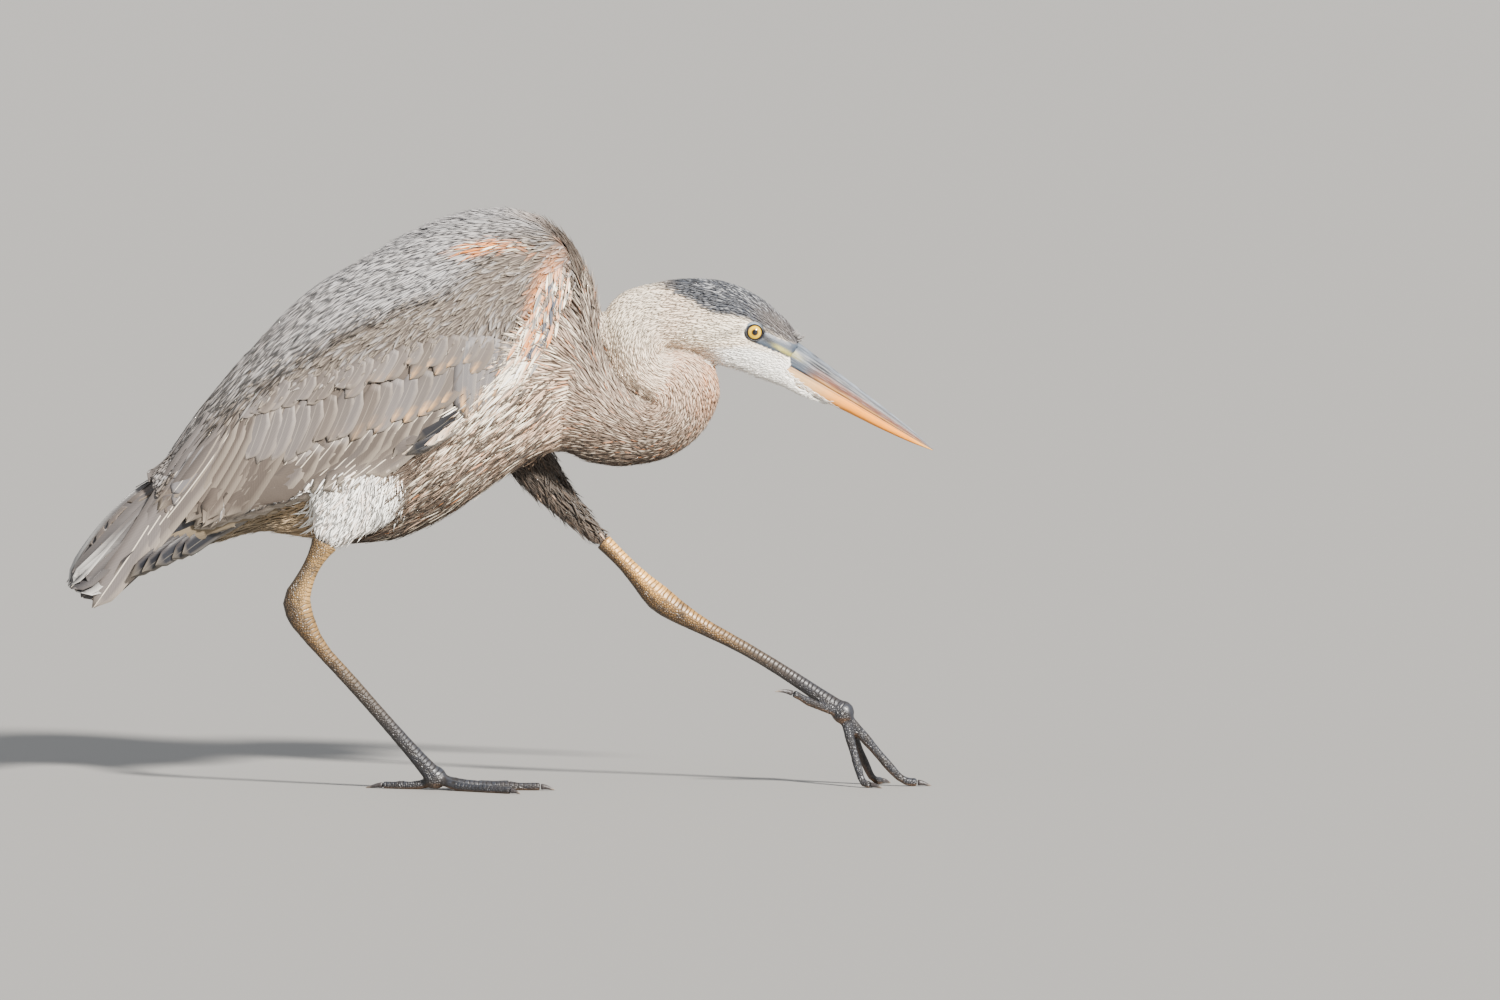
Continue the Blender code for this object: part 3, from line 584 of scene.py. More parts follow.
def unwrapped(points):
    """Where points lie on the body rolled out flat: along it, and round it from its underside."""
    spine = np.array(
        (
            (272, 306), (236, 335), (217, 355), (200, 367), (181, 373), (159, 381), (135, 382),
            (112, 375), (108, 352), (118, 332), (140, 334), (150, 318), (140, 292), (116, 284), (98, 291),
            (84, 305), (70, 340), (48, 358), (10, 367), (-49, 340), (-120, 295), (-212, 254), (-300, 205),
            (-360, 150),
        ),
        float,
    )
    best = np.full(len(points), 1e9)
    run, angle = np.zeros(len(points)), np.zeros(len(points))
    total = np.linalg.norm(np.diff(spine, axis=0), axis=1)
    start = np.concatenate(([0], np.cumsum(total)))
    flat = points[:, [0, 2]]
    for k, (a, b) in enumerate(zip(spine[:-1], spine[1:])):
        share = np.clip(((flat - a) @ (b - a)) / total[k] ** 2, 0, 1)
        foot = a + (b - a) * share[:, None]
        far = np.linalg.norm(flat - foot, axis=1)
        nearer = far < best
        across = (b - a)[[1, 0]] * (1, -1) / total[k]
        height = ((flat - foot) * across).sum(1)
        best = np.where(nearer, far, best)
        run = np.where(nearer, start[k] + total[k] * share, run)
        angle = np.where(nearer, np.arctan2(points[:, 1], -height), angle)
    return np.stack([run / start[-1], angle / (2 * math.pi) + 0.5], 1)


def fitted(where):
    """The same map stretched to the middle of the unit square."""
    low, high = where.min(0), where.max(0)
    return 0.01 + 0.975 * (where - low) / (high - low)


MAP_LOW, MAP_HIGH = 0.0005, 0.9995  # the part of the map that patches may use
TILE_RIM, TILE_FILL = 0.08, 0.84  # the free rim and the used width of a feather's own tile


def patches(roots_at, along, across, size):
    """Each feather's small patch of the map, at its root's place."""
    return np.clip(roots_at + np.stack([across * size, (along - 0.5) * 2 * size], 1), MAP_LOW, MAP_HIGH)


# ---- Markings ----
CROWN_EDGE = ((112, 412), (121, 407), (145, 400), (161, 392), (177, 382), (201, 377), (222, 364), (244, 352))
FACE_EDGE = ((140, 345), (150, 345), (165, 352), (185, 354), (201, 355), (217, 351), (245, 338))
SCAPULAR_EDGE = (
    (-300, 205), (-255, 262), (-235, 294), (-206, 322), (-174, 345), (-150, 359), (-116, 377), (-84, 390),
    (-54, 400), (-21, 411), (2, 432), (34, 442), (56, 444),
)


def markings(points, region):
    """The plumage's colours at places on the bird, with painted shade down in the neck's folds."""
    # painted shade: darker down in the neck's folds, on the neck and head
    shade = bell(off_folds(points), 1.7) * (0.7 if region.startswith(("neck", "head")) else 0)
    return mixed(plumage(points, region), BARK * 0.5, shade)


def plumage(points, region):
    """The plumage's colours, region by region, without the differences from feather to feather. Some
    undersides, the ruff and the far thigh carry painted shade.
    """
    x, z = points[:, 0], points[:, 2]
    if region == "head":
        face = 1 - ease(-3, 3, z - level(FACE_EDGE, x))
        crown = ease(-2.5, 2.5, z - level(CROWN_EDGE, x)) * ease(118, 152, x)
        return layered(
            SAND,
            (FAWN, 0.35 * (1 - ease(140, 190, x))),
            (CREAM, spot(points, 176, 366, 30, 9, 8, 0.6) * 0.7),
            (DUSK, spot(points, 188, 366, 12, 3.0, 20, 0.9) * 0.45),
            (CHALK, face * ease(146, 168, x)),
            (BUFF, spot(points, 164, 347, 14, 6, 0, 0.7) * 0.45),
            (SLATE, crown),
            (MOUSE * 0.8, crown * spot(points, 226, 370, 20, 8, -42, 0.8) * 0.5),
            (DUSK * 0.6, spot(points, 214, 366, 11, 2.8, -28, 0.5) * 0.85),
        )
    if region == "neck_back":
        return layered(
            SAND,
            (FAWN, 0.5 * (1 - ease(340, 395, z))),
            (SLATE * 1.25, spot(points, 132, 410, 18, 5, 0, 0.6) * 0.5),
            (CREAM, spot(points, 110, 372, 16, 12, 0, 0.7) * 0.3),
        )
    if region == "neck_front":
        return layered(
            FAWN,
            (RUFOUS, spot(points, 168, 326, 10, 26, 0, 0.6) * 0.35),
            # these two darken the neck's lower front: partly its brown streaks, partly painted shade under
            # its bulge
            (MOUSE, 0.3 * (1 - ease(290, 340, z))),
            (BARK * 0.55, (1 - ease(262, 325, z)) * 0.96),
        )
    if region == "neck_base":
        return layered(
            FAWN,
            (mixed(MOUSE, DRAB, 0.6), 0.5 + 0.4 * ease(280, 345, z)),
            # painted shade on the ruff behind the neck's base, which turns away from the light
            (mixed(DUSK, BARK, 0.5) * 0.8, 0.9 * ease(335, 380, z) * (1 - ease(62, 96, x))),
            # darker underneath: partly brown streaks, partly painted shade under the neck
            (BARK * 0.6, (1 - ease(256, 318, z)) * 0.95),
        )
    if region == "thigh_right":
        return layered(
            CHALK,
            (MOUSE, spot(points, -100, 266, 34, 14, 20, 0.6) * 0.4),
            (STRAW, spot(points, -140, 200, 14, 10, 0, 0.8) * 0.2),
        )
    if region == "thigh_left":
        # the far thigh: dark brown, partly its own colour and partly painted shade from the body, darkest at
        # its top
        return mixed(mixed(DUSK, BARK, 0.7), BARK * 0.35, 0.9 * ease(195, 235, z))
    if region.startswith("wing"):
        upper = ease(-4, 10, z - level(SCAPULAR_EDGE, x))
        return layered(
            DRAB * 0.82,
            (ASH, upper * (0.65 + 0.35 * (1 - ease(-40, 40, x)))),
            (DRAB, upper * (1 - ease(-230, -60, x)) * 0.7),
            (MOUSE, upper * spot(points, 20, 424, 34, 20, 0, 0.6) * 0.5),
            (RUFOUS, spot(points, 40, 396, 11, 34, -18, 0.5) * 0.6),
        )
    return layered(
        FAWN,
        # these two make the lower trunk darker and browner: partly the belly's own brown, partly painted
        # shade on the underside
        (STRAW, (1 - ease(225, 272, z)) * 0.6),
        (BARK * 0.6, (1 - ease(232, 316, z)) * ease(-150, -110, x) * 0.95),
        (MOUSE, ease(300, 380, z) * 0.85),
        # painted shade on the ruff at the neck's base, which turns away from the light
        (mixed(DUSK, BARK, 0.6) * 0.7, ease(350, 400, z) * ease(32, 56, x)),
        (ASH, ease(395, 440, z) * (1 - ease(10, 60, x))),
        (CREAM, spot(points, 10, 318, 16, 50, -38, 0.6) * 0.6),
        # undertail: its whitish plumage darkened to beige as painted shade
        (tone(126, 111, 88), spot(points, -230, 196, 90, 20, 17, 0.5) * 0.95),
        # painted shadow under the wing's lower edge
        (DUSK, spot(points, -66, 272, 30, 14, 20, 0.6) * 0.8),
    )


def varied(colours, region, points):
    """The same colours, feather by feather: lighter, darker and streaked ones."""
    light = 1 + 0.10 * chance.standard_normal(len(points))
    colours = colours * np.clip(light, 0.7, 1.3)[:, None]
    pick = chance.random(len(points))
    x, z = points[:, 0], points[:, 2]
    coats = ()
    if region in ("neck_base", "neck_front"):
        low = 1 - ease(262, 330, z)
        # more brown and fewer sand feathers low on the neck: partly its streaking, partly painted shade under
        # the neck
        coats = (
            (BARK, (pick < 0.1 + 0.2 * low) * (0.35 + 0.25 * low)),
            (SAND, ((pick > 0.66) & (pick < 0.9)) * (0.45 - 0.25 * low)),
            (RUFOUS, (pick > 0.95) * 0.3),
        )
    elif region == "neck_back":
        coats = (DUSK, (pick < 0.08) * 0.3), (CREAM, (pick > 0.75) * 0.5)
    elif region == "trunk":
        front = ease(-130, -40, x) * (1 - ease(360, 420, z))
        coats = (
            (BARK * 0.8, (pick < 0.3) * front * 0.65),
            (CREAM, (pick > 0.7) * front * (0.25 + 0.35 * ease(260, 320, z))),
            (RUFOUS, ((pick > 0.5) & (pick < 0.55)) * front * 0.4),
        )
    elif region == "head":
        crown = ease(-3, 3, z - level(CROWN_EDGE, x))
        top = ease(0, 8, z - level(CROWN_EDGE, x) - 11) * ease(150, 175, x)
        coats = (
            (SILVER, (pick > 0.9 - 0.2 * top) * crown * (0.3 + 0.3 * top)),
            (INK, (pick < 0.2) * crown * 0.18),
            (DUSK, (pick < 0.1) * (1 - crown) * ease(352, 360, z) * 0.3),
        )
    elif region.startswith("wing"):
        tufts = spot(points, -3, 438, 17, 4, 8, 0.6) + 0.5 * spot(points, 22, 436, 12, 4, -10, 0.6)
        coats = (
            (SILVER, (pick > 0.8) * 0.2),
            (DUSK, (pick < 0.1) * 0.22),
            (RUFOUS * 1.15, (pick > 0.3) * tufts),
            (CREAM, (pick < 0.3) * tufts * 0.8),
        )
    elif region == "thigh_right":
        coats = ((FAWN, (pick < 0.15) * 0.4),)
    return layered(colours, *coats)


# ---- Finishes ----


def shader(name, roughness, **values):
    """A material with its nodes, and its Principled shader with plain values set."""
    material = bpy.data.materials.new(name)
    material.use_nodes = True
    nodes = material.node_tree.nodes
    finish = nodes["Principled BSDF"]
    finish.inputs["Roughness"].default_value = roughness
    for key, value in values.items():
        finish.inputs[key.replace("_", " ")].default_value = value
    return material, finish


def add(tree, kind, operation=None, settings=(), **links):
    """A node with its inputs set to values or joined to sockets. A key such as i2 is an input's index."""
    node = tree.nodes.new(kind)
    if operation:
        node.operation = operation
    for key, value in settings:
        setattr(node, key, value)
    for key, value in links.items():
        by_index = key[0] == "i" and key[1:].isdigit()
        socket = node.inputs[int(key[1:]) if by_index else key.replace("_", " ")]
        if isinstance(value, bpy.types.NodeSocket):
            tree.links.new(value, socket)
        else:
            socket.default_value = value
    return node


def feed(node, **sockets):
    """Joins sockets to a node's inputs, by the inputs' names."""
    for key, socket in sockets.items():
        node.id_data.links.new(socket, node.inputs[key.replace("_", " ")])


def math_of(operation, a, b=0.5, clamp=False):
    """A sum of two values, at least one of them a socket."""
    tree = (a if isinstance(a, bpy.types.NodeSocket) else b).id_data
    node = add(tree, "ShaderNodeMath", operation, i0=a, i1=b)
    node.use_clamp = clamp
    return node.outputs[0]


def times(a, b):
    return math_of("MULTIPLY", a, b)


def plus(a, b):
    return math_of("ADD", a, b)


def minus(a, b):
    return math_of("SUBTRACT", a, b)


def slope(above, steep):
    """0 up to 0, then rising as steeply as this to 1."""
    return math_of("MULTIPLY", above, steep, clamp=True)


def rgba(colour):
    """A colour as a socket takes it."""
    return (*[float(c) for c in colour], 1.0)


def mix_of(share, a, b):
    """A share of colour b in colour a."""
    colours = [c if isinstance(c, bpy.types.NodeSocket) else rgba(c) for c in (a, b)]
    kind = (("data_type", "RGBA"),)
    mix = add(share.id_data, "ShaderNodeMix", settings=kind, i0=share, i6=colours[0], i7=colours[1])
    return mix.outputs[2]


def named(tree, name, output="Vector"):
    """The values that a mesh carries under this name."""
    return add(tree, "ShaderNodeAttribute", settings=(("attribute_name", name),)).outputs[output]


def own_place(tree):
    """The place on the object itself, in metres."""
    return add(tree, "ShaderNodeTexCoord").outputs["Object"]


def noise(place, scale, detail, roughness=0.5):
    """Soft noise from 0 to 1. A scale of three numbers stretches it along the axes."""
    tree = place.id_data
    if isinstance(scale, tuple):
        place = add(tree, "ShaderNodeVectorMath", "MULTIPLY", i0=place, i1=scale).outputs[0]
        scale = 1.0
    noises = add(tree, "ShaderNodeTexNoise", Vector=place, Scale=scale, Detail=detail, Roughness=roughness)
    return noises.outputs["Fac"]


def dimmed(colour, share):
    """A colour made darker or lighter."""
    return add(colour.id_data, "ShaderNodeVectorMath", "SCALE", i0=colour, Scale=share).outputs[0]


def bumps(height, strength, distance=0.0004):
    """A rough surface's normals."""
    bump = add(height.id_data, "ShaderNodeBump", Strength=strength, Distance=distance, Height=height)
    return bump.outputs["Normal"]


def new_group(name, inputs, outputs):
    """A node group, the sockets that it is given and the node that takes its results."""
    group = bpy.data.node_groups.new(name, "ShaderNodeTree")
    for label, kind, value in inputs:
        socket = group.interface.new_socket(name=label, in_out="INPUT", socket_type=f"NodeSocket{kind}")
        socket.default_value = value
    for label, kind in outputs:
        group.interface.new_socket(name=label, in_out="OUTPUT", socket_type=f"NodeSocket{kind}")
    return group, group.nodes.new("NodeGroupInput").outputs, group.nodes.new("NodeGroupOutput")


def barb_group():
    """Barbs that slant from a feather's shaft: their height, and the colour with the shaft drawn on it."""
    group, given, result = new_group(
        "barbs and shaft",
        (
            ("Tint", "Color", (1, 1, 1, 1)),
            ("Vane", "Vector", (0, 0, 0)),
            ("Barb Count", "Float", 40.0),
            ("Shaft Width", "Float", 0.05),
            ("Shaft Light", "Float", 0.5),
            ("Root Shade", "Float", 0.3),
        ),
        (("Colour", "Color"), ("Height", "Float")),
    )
    parts = add(group, "ShaderNodeSeparateXYZ", Vector=given["Vane"]).outputs
    off = math_of("ABSOLUTE", parts["Y"])
    slant = minus(times(parts["X"], given["Barb Count"]), times(off, 5.0))
    wave = plus(times(math_of("SINE", times(slant, 6.2832)), 0.5), 0.5)
    shaft = math_of("SUBTRACT", 1.0, math_of("DIVIDE", off, given["Shaft Width"]), clamp=True)
    uneven = noise(given["Vane"], (3.0, 9.0, 57.0), 3.0)
    shade = plus(plus(times(wave, 0.10), times(uneven, 0.40)), 0.76)
    root = minus(1.0, times(given["Root Shade"], minus(1.0, parts["X"])))
    shaded = dimmed(given["Tint"], times(shade, root))
    feed(
        result,
        Colour=mix_of(times(shaft, given["Shaft Light"]), shaded, CREAM),
        Height=plus(times(wave, 0.3), shaft),
    )
    return group


BARBS = barb_group()


def feather_finish(name, barbs, shaft_width, shaft_light, root_shade, roughness, bump):
    """Feathers of the colour that the mesh carries, with their barbs and shafts."""
    material, finish = shader(name, roughness, Sheen_Weight=0.12, Sheen_Roughness=0.4)
    tree = material.node_tree
    group = add(
        tree, "ShaderNodeGroup", settings=(("node_tree", BARBS),), Tint=named(tree, "tint", "Color"),
        Vane=named(tree, "vane"), Barb_Count=barbs, Shaft_Width=shaft_width, Shaft_Light=shaft_light,
        Root_Shade=root_shade,
    )
    feed(finish, Base_Color=group.outputs["Colour"], Normal=bumps(group.outputs["Height"], bump))
    return material


DOWN, VANES, RANKS, COVERTS, QUILLS = (
    feather_finish(name, *measures)
    for name, *measures in (
        # barbs, width and light of the shaft, shade at the root, roughness, bump
        ("soft_plumes", 9.0, 0.25, 0.08, 0.2, 0.78, 0.2),
        ("vaned_feathers", 46.0, 0.05, 0.75, 0.12, 0.6, 0.25),
        ("ranked_coverts", 30.0, 0.06, 0.1, 0.15, 0.65, 0.3),
        ("wing_coverts", 14.0, 0.12, 0.15, 0.3, 0.72, 0.3),
        ("flight_feathers", 60.0, 0.05, 0.12, 0.1, 0.42, 0.2),
    )
)

# ---- Skin ----
body = body_form()
body_nodes = BODY + ["eye_right", "eye_left", "bill_upper", "bill_lower"]
nearest_node = labels_for(body.points, body_nodes)
body_labels = body.evened(np.eye(len(body_nodes))[nearest_node], 8).argmax(1)
skin_points = skin_of(body, body_nodes, body_labels)


def leg_form():
    """The smooth form of the bare legs and toes."""
    points, faces = arrays(fused(LEGS, 1.15, 0.25))
    surface = Surface(points, faces)
    return Surface(surface.evened(points, 4, 0.5) - surface.normals * 0.2, faces)


legs = leg_form()


# ---- Small feathers ----
skin = Surface(skin_points, body.faces)
face_labels = body_labels[body.faces[:, 0]]
face_middles = body.points[body.faces].mean(1)
face_x, face_y, face_z = face_middles.T
face_lean = skin.normals[body.faces[:, 0], 1]  # how far each face looks to the bird's left
above_scapulars = face_z - level(SCAPULAR_EDGE, face_x)


def faces_of(region):
    """The skin's faces in a region."""
    return face_labels == body_nodes.index(region)


def coat(name, parts, material, steps=4):
    """One piece of plumage. Each part gives a region, its faces, a spacing and its feathers' measures."""
    every_point, quads, tris, tints, vanes_at, roots_at = [], [], [], [], [], []
    for region, chosen, spacing, measure in parts:
        roots = scattered(skin, chosen, spacing)
        length, width, rise, tip_rise, sway = measure(roots)
        count = len(roots)
        fold = off_folds(roots) if region.startswith(("neck", "head")) else np.full(count, 9.0)
        length = length * chance.uniform(0.78, 1.2, count) * (0.55 + 0.45 * ease(1, 7, fold))
        rise = rise * (0.3 + 0.7 * ease(0.5, 6, fold))
        ruffled = chance.random(count) ** 6

        def lift(share):
            return rise * share**0.8 + (tip_rise * ruffled + 0.1) * share**2 - 0.35 * (1 - share)

        sways = sway * chance.standard_normal(count)
        places, normals, ways = laid(skin, roots, region, length, steps, sways, lift)
        width = width * chance.uniform(0.8, 1.2, count)
        points, faces, along, across, per = blades(places, normals, ways, width, width * 0.11)
        colour = varied(markings(roots, region), region, roots)
        every_point.append(points)
        quads.append(faces[0])
        tris.append(faces[1])
        tints.append(np.repeat(colour, per, 0))
        vanes_at.append(np.stack([along, across, np.repeat(chance.random(count), per)], 1))
        roots_at.append(np.repeat(unwrapped(roots), per, 0))
    vanes_at = np.concatenate(vanes_at)
    piece = mesh_of(
        name,
        np.concatenate(every_point),
        [stacked(every_point, quads)[1], stacked(every_point, tris)[1]],
        [material],
        tint=np.concatenate(tints),
        vane=vanes_at,
        patch=patches(fitted(np.concatenate(roots_at)), vanes_at[:, 0], vanes_at[:, 1], 0.0013),
    )
    return settled(piece)


# A measure gives the feathers of these roots: length, width, rise, further rise of a ruffled tip, sway.
def head_measure(roots):
    x, z = roots[:, 0], roots[:, 2]
    back = 1 - ease(150, 225, x)
    crown = ease(-2, 3, z - level(CROWN_EDGE, x))
    jaw = level(((180, 343), (205, 335), (232, 321), (262, 307), (275, 300)), x)
    chin = ease(-1, 3, jaw - z) * ease(165, 190, x)
    length = 4.0 + 5.0 * back + 2.5 * crown - 0.8 * chin
    width = 0.85 + 0.45 * back + 0.15 * crown
    return length, width, 0.85 + 0.35 * back + 1.2 * chin, 0.5 + 1.9 * chin, 0.14 + 0.4 * chin


def neck_measure(long, wide, rise, ruffle):
    return lambda roots: (np.full(len(roots), long), np.full(len(roots), wide), rise, ruffle, 0.15)


def base_measure(roots):
    back = ease(335, 390, roots[:, 2]) * (1 - ease(60, 110, roots[:, 0]))
    return 16 + 5 * back, 1.45 + 0.5 * back, 1.4 + 0.9 * back, 2.0 + 5.0 * back, 0.16 + 0.1 * back


def trunk_measure(roots):
    x, z = roots[:, 0], roots[:, 2]
    plume = spot(roots, 0, 290, 40, 70, -35, 0.5)
    rear = 1 - ease(-250, -150, x)
    ruff = ease(400, 440, z) * ease(35, 60, x)
    length, width = 22 + 14 * plume + 10 * rear, 1.8 + 0.3 * plume + 1.2 * rear
    return length, width, 2.3 + ruff, 2.0 - 1.4 * rear + 3 * ruff, 0.17 - 0.08 * rear


def thigh_measure(roots):
    low = 1 - ease(205, 255, roots[:, 2])
    return 20 + 8 * low, 1.7 + 0.5 * low, 2.9, 4.0 + 2.0 * low, 0.26


WING_EDGE = (
    (-244, 210), (-228, 212), (-200, 222), (-176, 231), (-145, 241), (-111, 253), (-78, 267), (-50, 287),
    (-28, 304),
)
bare_face = marks_of_head(body.points)[body.faces].mean(1)
head_faces = faces_of("head") & (bare_face < 0.5) & (face_x < 265)
face_spacing = 1.3 + 0.5 * (1 - ease(150, 215, face_x))
coat("head_feathers", [("head", head_faces, face_spacing, head_measure)], DOWN)
coat(
    "neck_feathers",
    [
        ("neck_back", faces_of("neck_back"), 1.5, neck_measure(10.5, 1.2, 1.05, 1.2)),
        ("neck_front", faces_of("neck_front"), 1.55, neck_measure(12, 1.3, 1.2, 1.6)),
    ],
    DOWN,
)
coat("collar_feathers", [("neck_base", faces_of("neck_base"), 1.9, base_measure)], DOWN)
behind = face_x < -70
under_wing = (np.abs(face_y) > 26) & (face_x > -245) & (face_x < -30)
under_wing &= face_z > level(WING_EDGE, face_x) + 2
open_trunk = faces_of("trunk") & ~under_wing
coat("breast_feathers", [("trunk", open_trunk & ~behind, 2.3, trunk_measure)], DOWN, 5)
coat("rump_feathers", [("trunk", open_trunk & behind, 2.7, trunk_measure)], DOWN, 5)
coat("thigh_feathers", [(f"thigh_{s}", faces_of(f"thigh_{s}"), 2.2, thigh_measure) for s in SIDES], DOWN, 5)


def crest_feathers(count):
    """Short ruffled tufts of the forehead that stand out over the base of the bill."""
    x = chance.uniform(225, 243, count)
    brow = level(((225, 366), (243, 356)), x)
    roots, normals = skin.nearest(np.stack([x, chance.uniform(-7, 7, count), brow + 3], 1))
    turn = np.radians(chance.uniform(-28, 30, count))
    ways = unit(np.stack([np.cos(turn), chance.uniform(-0.5, 0.5, count), np.sin(turn)], 1) + normals * 0.35)
    share = np.linspace(0, 1, 4)[None, :, None]
    reach = chance.uniform(4, 8.5, count)[:, None, None] * share
    places = roots[:, None] + ways[:, None] * reach + share**2 * np.array((0, 0, 1.2))
    normals, ways = np.repeat(normals[:, None], 4, 1), np.repeat(ways[:, None], 4, 1)
    widths = chance.uniform(0.8, 1.3, count)
    points, faces, along, across, per = blades(places, normals, ways, widths, np.full(count, 0.12))
    colour = varied(mixed(DUSK, SILVER, 0.25), "head", places[:, 0])
    piece = mesh_of(
        "crest_feathers",
        points,
        faces,
        [DOWN],
        tint=np.repeat(colour, per, 0),
        vane=np.stack([along, across, np.repeat(chance.random(count), per)], 1),
        patch=patches(np.repeat(fitted(unwrapped(places[:, 0])), per, 0), along, across, 0.0013),
    )
    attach(piece, "root")


crest_feathers(90)


# ---- Mantle and coverts ----
def mantle_measure(roots):
    """Longer towards the rear, and short again at the very end."""
    rear = 1 - ease(-230, 20, roots[:, 0])
    end = ease(-262, -205, roots[:, 0])
    return (22 + 34 * rear) * (0.25 + 0.75 * end), 1.8 + 1.3 * rear, 2.3, 0.7, 0.08


def lining_measure(roots):
    """Even feathers under the wing."""
    return np.full(len(roots), 12.0), np.full(len(roots), 2.2), 1.2, 0.8, 0.15


for name, side in SIDES.items():
    wing = faces_of(f"wing_{name}")
    mantle = wing & (face_y * side > 0) & (face_lean * side > -0.3) & (above_scapulars > -3)
    coat(f"mantle_{name}", [(f"wing_{name}", mantle, 2.35, mantle_measure)], DOWN, 5)
    lining = wing & ~mantle & (face_lean * side < 0.45)
    lining &= (face_z < level(WING_EDGE, face_x) + 7) | (face_x > -28)
    coat(f"wing_lining_{name}", [(f"wing_{name}", lining, 2.8, lining_measure)], DOWN)


# ---- Vaned feathers ----
def rounded(share, blunt=0.75, tip=0.16):
    """A vane's half width along its length: full from early on, with a rounded end."""
    start = 0.45 + 0.55 * ease(0, 0.3, share)
    end = np.clip((share - (1 - tip)) / tip, 0, 1)
    return start * np.clip(1 - end**2, 0.02, 1) ** (blunt * 0.7)


def pointed(share):
    """A covert's half width: full, then drawn in to a blunt point."""
    return rounded(share, 0.9, 0.36)


def lance(share):
    """A long plume's half width: widest before its middle, then narrowing to the tip."""
    return np.clip(0.35 + 0.9 * share, 0, 1) * np.clip((1 - share) / 0.62, 0.03, 1) ** 0.7


def vaned(places, normals, ways, widths, outline, across_points, thick, camber, tilt, ragged):
    """Closed cambered feathers: points, faces, along, across and the number of points of one feather."""
    count, steps = places.shape[:2]
    sides = unit(np.cross(normals, ways))
    shares = np.arange(steps) / (steps - 1)
    half = widths[:, None] / 2 * outline(shares)
    offs = np.linspace(-1, 1, across_points)
    fray = chance.standard_normal((count, 1, across_points)) * ragged * ease(0.6, 1, shares)[None, :, None]
    out = half[:, :, None] * offs
    rise = tilt * out - camber * half[:, :, None] * offs**2
    fray = fray - 0.25 * half[:, :, None] * offs**2 * (shares > 0.99)[None, :, None]
    tops = places[:, :, None] + sides[:, :, None] * out[..., None] + normals[:, :, None] * rise[..., None]
    tops = tops + ways[:, :, None] * fray[..., None]
    depth = thick * (1 - 0.55 * offs**2)
    bottoms = tops - normals[:, :, None] * depth[None, None, :, None]
    grid = np.stack([tops, bottoms], 2).reshape(count, -1, 3)
    m = across_points
    per = steps * 2 * m

    def at(k, layer, j):
        return (k * 2 + layer) * m + j

    quads, end = [], steps - 1
    for k in range(end):
        for j in range(m - 1):
            quads.append((at(k, 0, j), at(k, 0, j + 1), at(k + 1, 0, j + 1), at(k + 1, 0, j)))
            quads.append((at(k, 1, j + 1), at(k, 1, j), at(k + 1, 1, j), at(k + 1, 1, j + 1)))
        quads.append((at(k, 1, 0), at(k, 0, 0), at(k + 1, 0, 0), at(k + 1, 1, 0)))
        quads.append((at(k, 0, m - 1), at(k, 1, m - 1), at(k + 1, 1, m - 1), at(k + 1, 0, m - 1)))
    for j in range(m - 1):
        quads.append((at(0, 0, j + 1), at(0, 0, j), at(0, 1, j), at(0, 1, j + 1)))
        quads.append((at(end, 0, j), at(end, 0, j + 1), at(end, 1, j + 1), at(end, 1, j)))
    quads = np.array(quads)[:, ::-1]
    faces = (quads + (np.arange(count) * per)[:, None, None]).reshape(-1, 4)
    along = np.repeat(shares, 2 * m)
    across = np.tile(np.tile(offs, 2), steps)
    return grid.reshape(-1, 3), faces, np.tile(along, count), np.tile(across, count), per


class Feathers:
    """Vaned feathers gathered into one piece. Tiled ones have a square of the map each."""

    def __init__(self, name, material, tiled):
        self.name, self.material, self.tiled = name, material, tiled
        self.points, self.faces, self.tints, self.vanes, self.roots, self.numbers = [], [], [], [], [], []

    def put(
        self, places, normals, ways, widths, outline, colours, paint=None,
        *, across_points=5, thick, camber=0.08, tilt=0.0, ragged,
    ):
        """colours are one a feather; paint(along, across, tint, pick, tips) may repaint each point."""
        points, faces, along, across, per = vaned(
            places, normals, ways, widths, outline, across_points, thick, camber, tilt, ragged
        )
        tint = np.repeat(colours, per, 0)
        pick = np.repeat(chance.random(len(places)), per)
        if paint:
            tint = paint(along, across, tint, pick, np.repeat(places[:, -1], per, 0))
        first = self.numbers[-1][-1] + 1 if self.numbers else 0
        self.points.append(points)
        self.faces.append(faces)
        self.tints.append(tint)
        self.vanes.append(np.stack([along, across, pick], 1))
        self.roots.append(np.repeat(places[:, 0], per, 0))
        self.numbers.append(first + np.repeat(np.arange(len(places)), per))

    def finish(self):
        """The piece that all the feathers make together."""
        vanes_at, tiles = np.concatenate(self.vanes), np.concatenate(self.numbers)
        along, across = vanes_at[:, 0], vanes_at[:, 1]
        if self.tiled:
            wide = math.ceil(math.sqrt(tiles.max() + 1))
            corner = np.stack([tiles % wide, tiles // wide], 1) + TILE_RIM
            inside = np.stack([(across + 1) / 2, along], 1) * TILE_FILL
            where = np.clip((corner + inside) / wide, MAP_LOW, MAP_HIGH)
        else:
            where = patches(fitted(unwrapped(np.concatenate(self.roots))), along, across, 0.0014)
        points, faces = stacked(self.points, self.faces)
        values = {"tint": np.concatenate(self.tints), "vane": vanes_at, "patch": where}
        return settled(mesh_of(self.name, points, faces, [self.material], **values))


def whole_form():
    """The form out to the tips of wings and tail, which the long feathers are laid on."""
    nodes = ["trunk", "wing_right", "wing_left", "tail", "primaries_right", "primaries_left", "thigh_right"]
    points, faces = outer_shell(*arrays(fused(nodes, 1.9, 0.4)))
    rough = Surface(points, faces)
    return Surface(rough.evened(points, 5, 0.5) - rough.normals * 0.4, faces)


outer = whole_form()


def calmed(values, times):
    """Station values drawn towards those before and after them, with both ends kept."""
    for _ in range(times):
        between = (values[:, :-2] + 2 * values[:, 1:-1] + values[:, 2:]) / 4
        values = np.concatenate([values[:, :1], between, values[:, -1:]], 1)
    return values


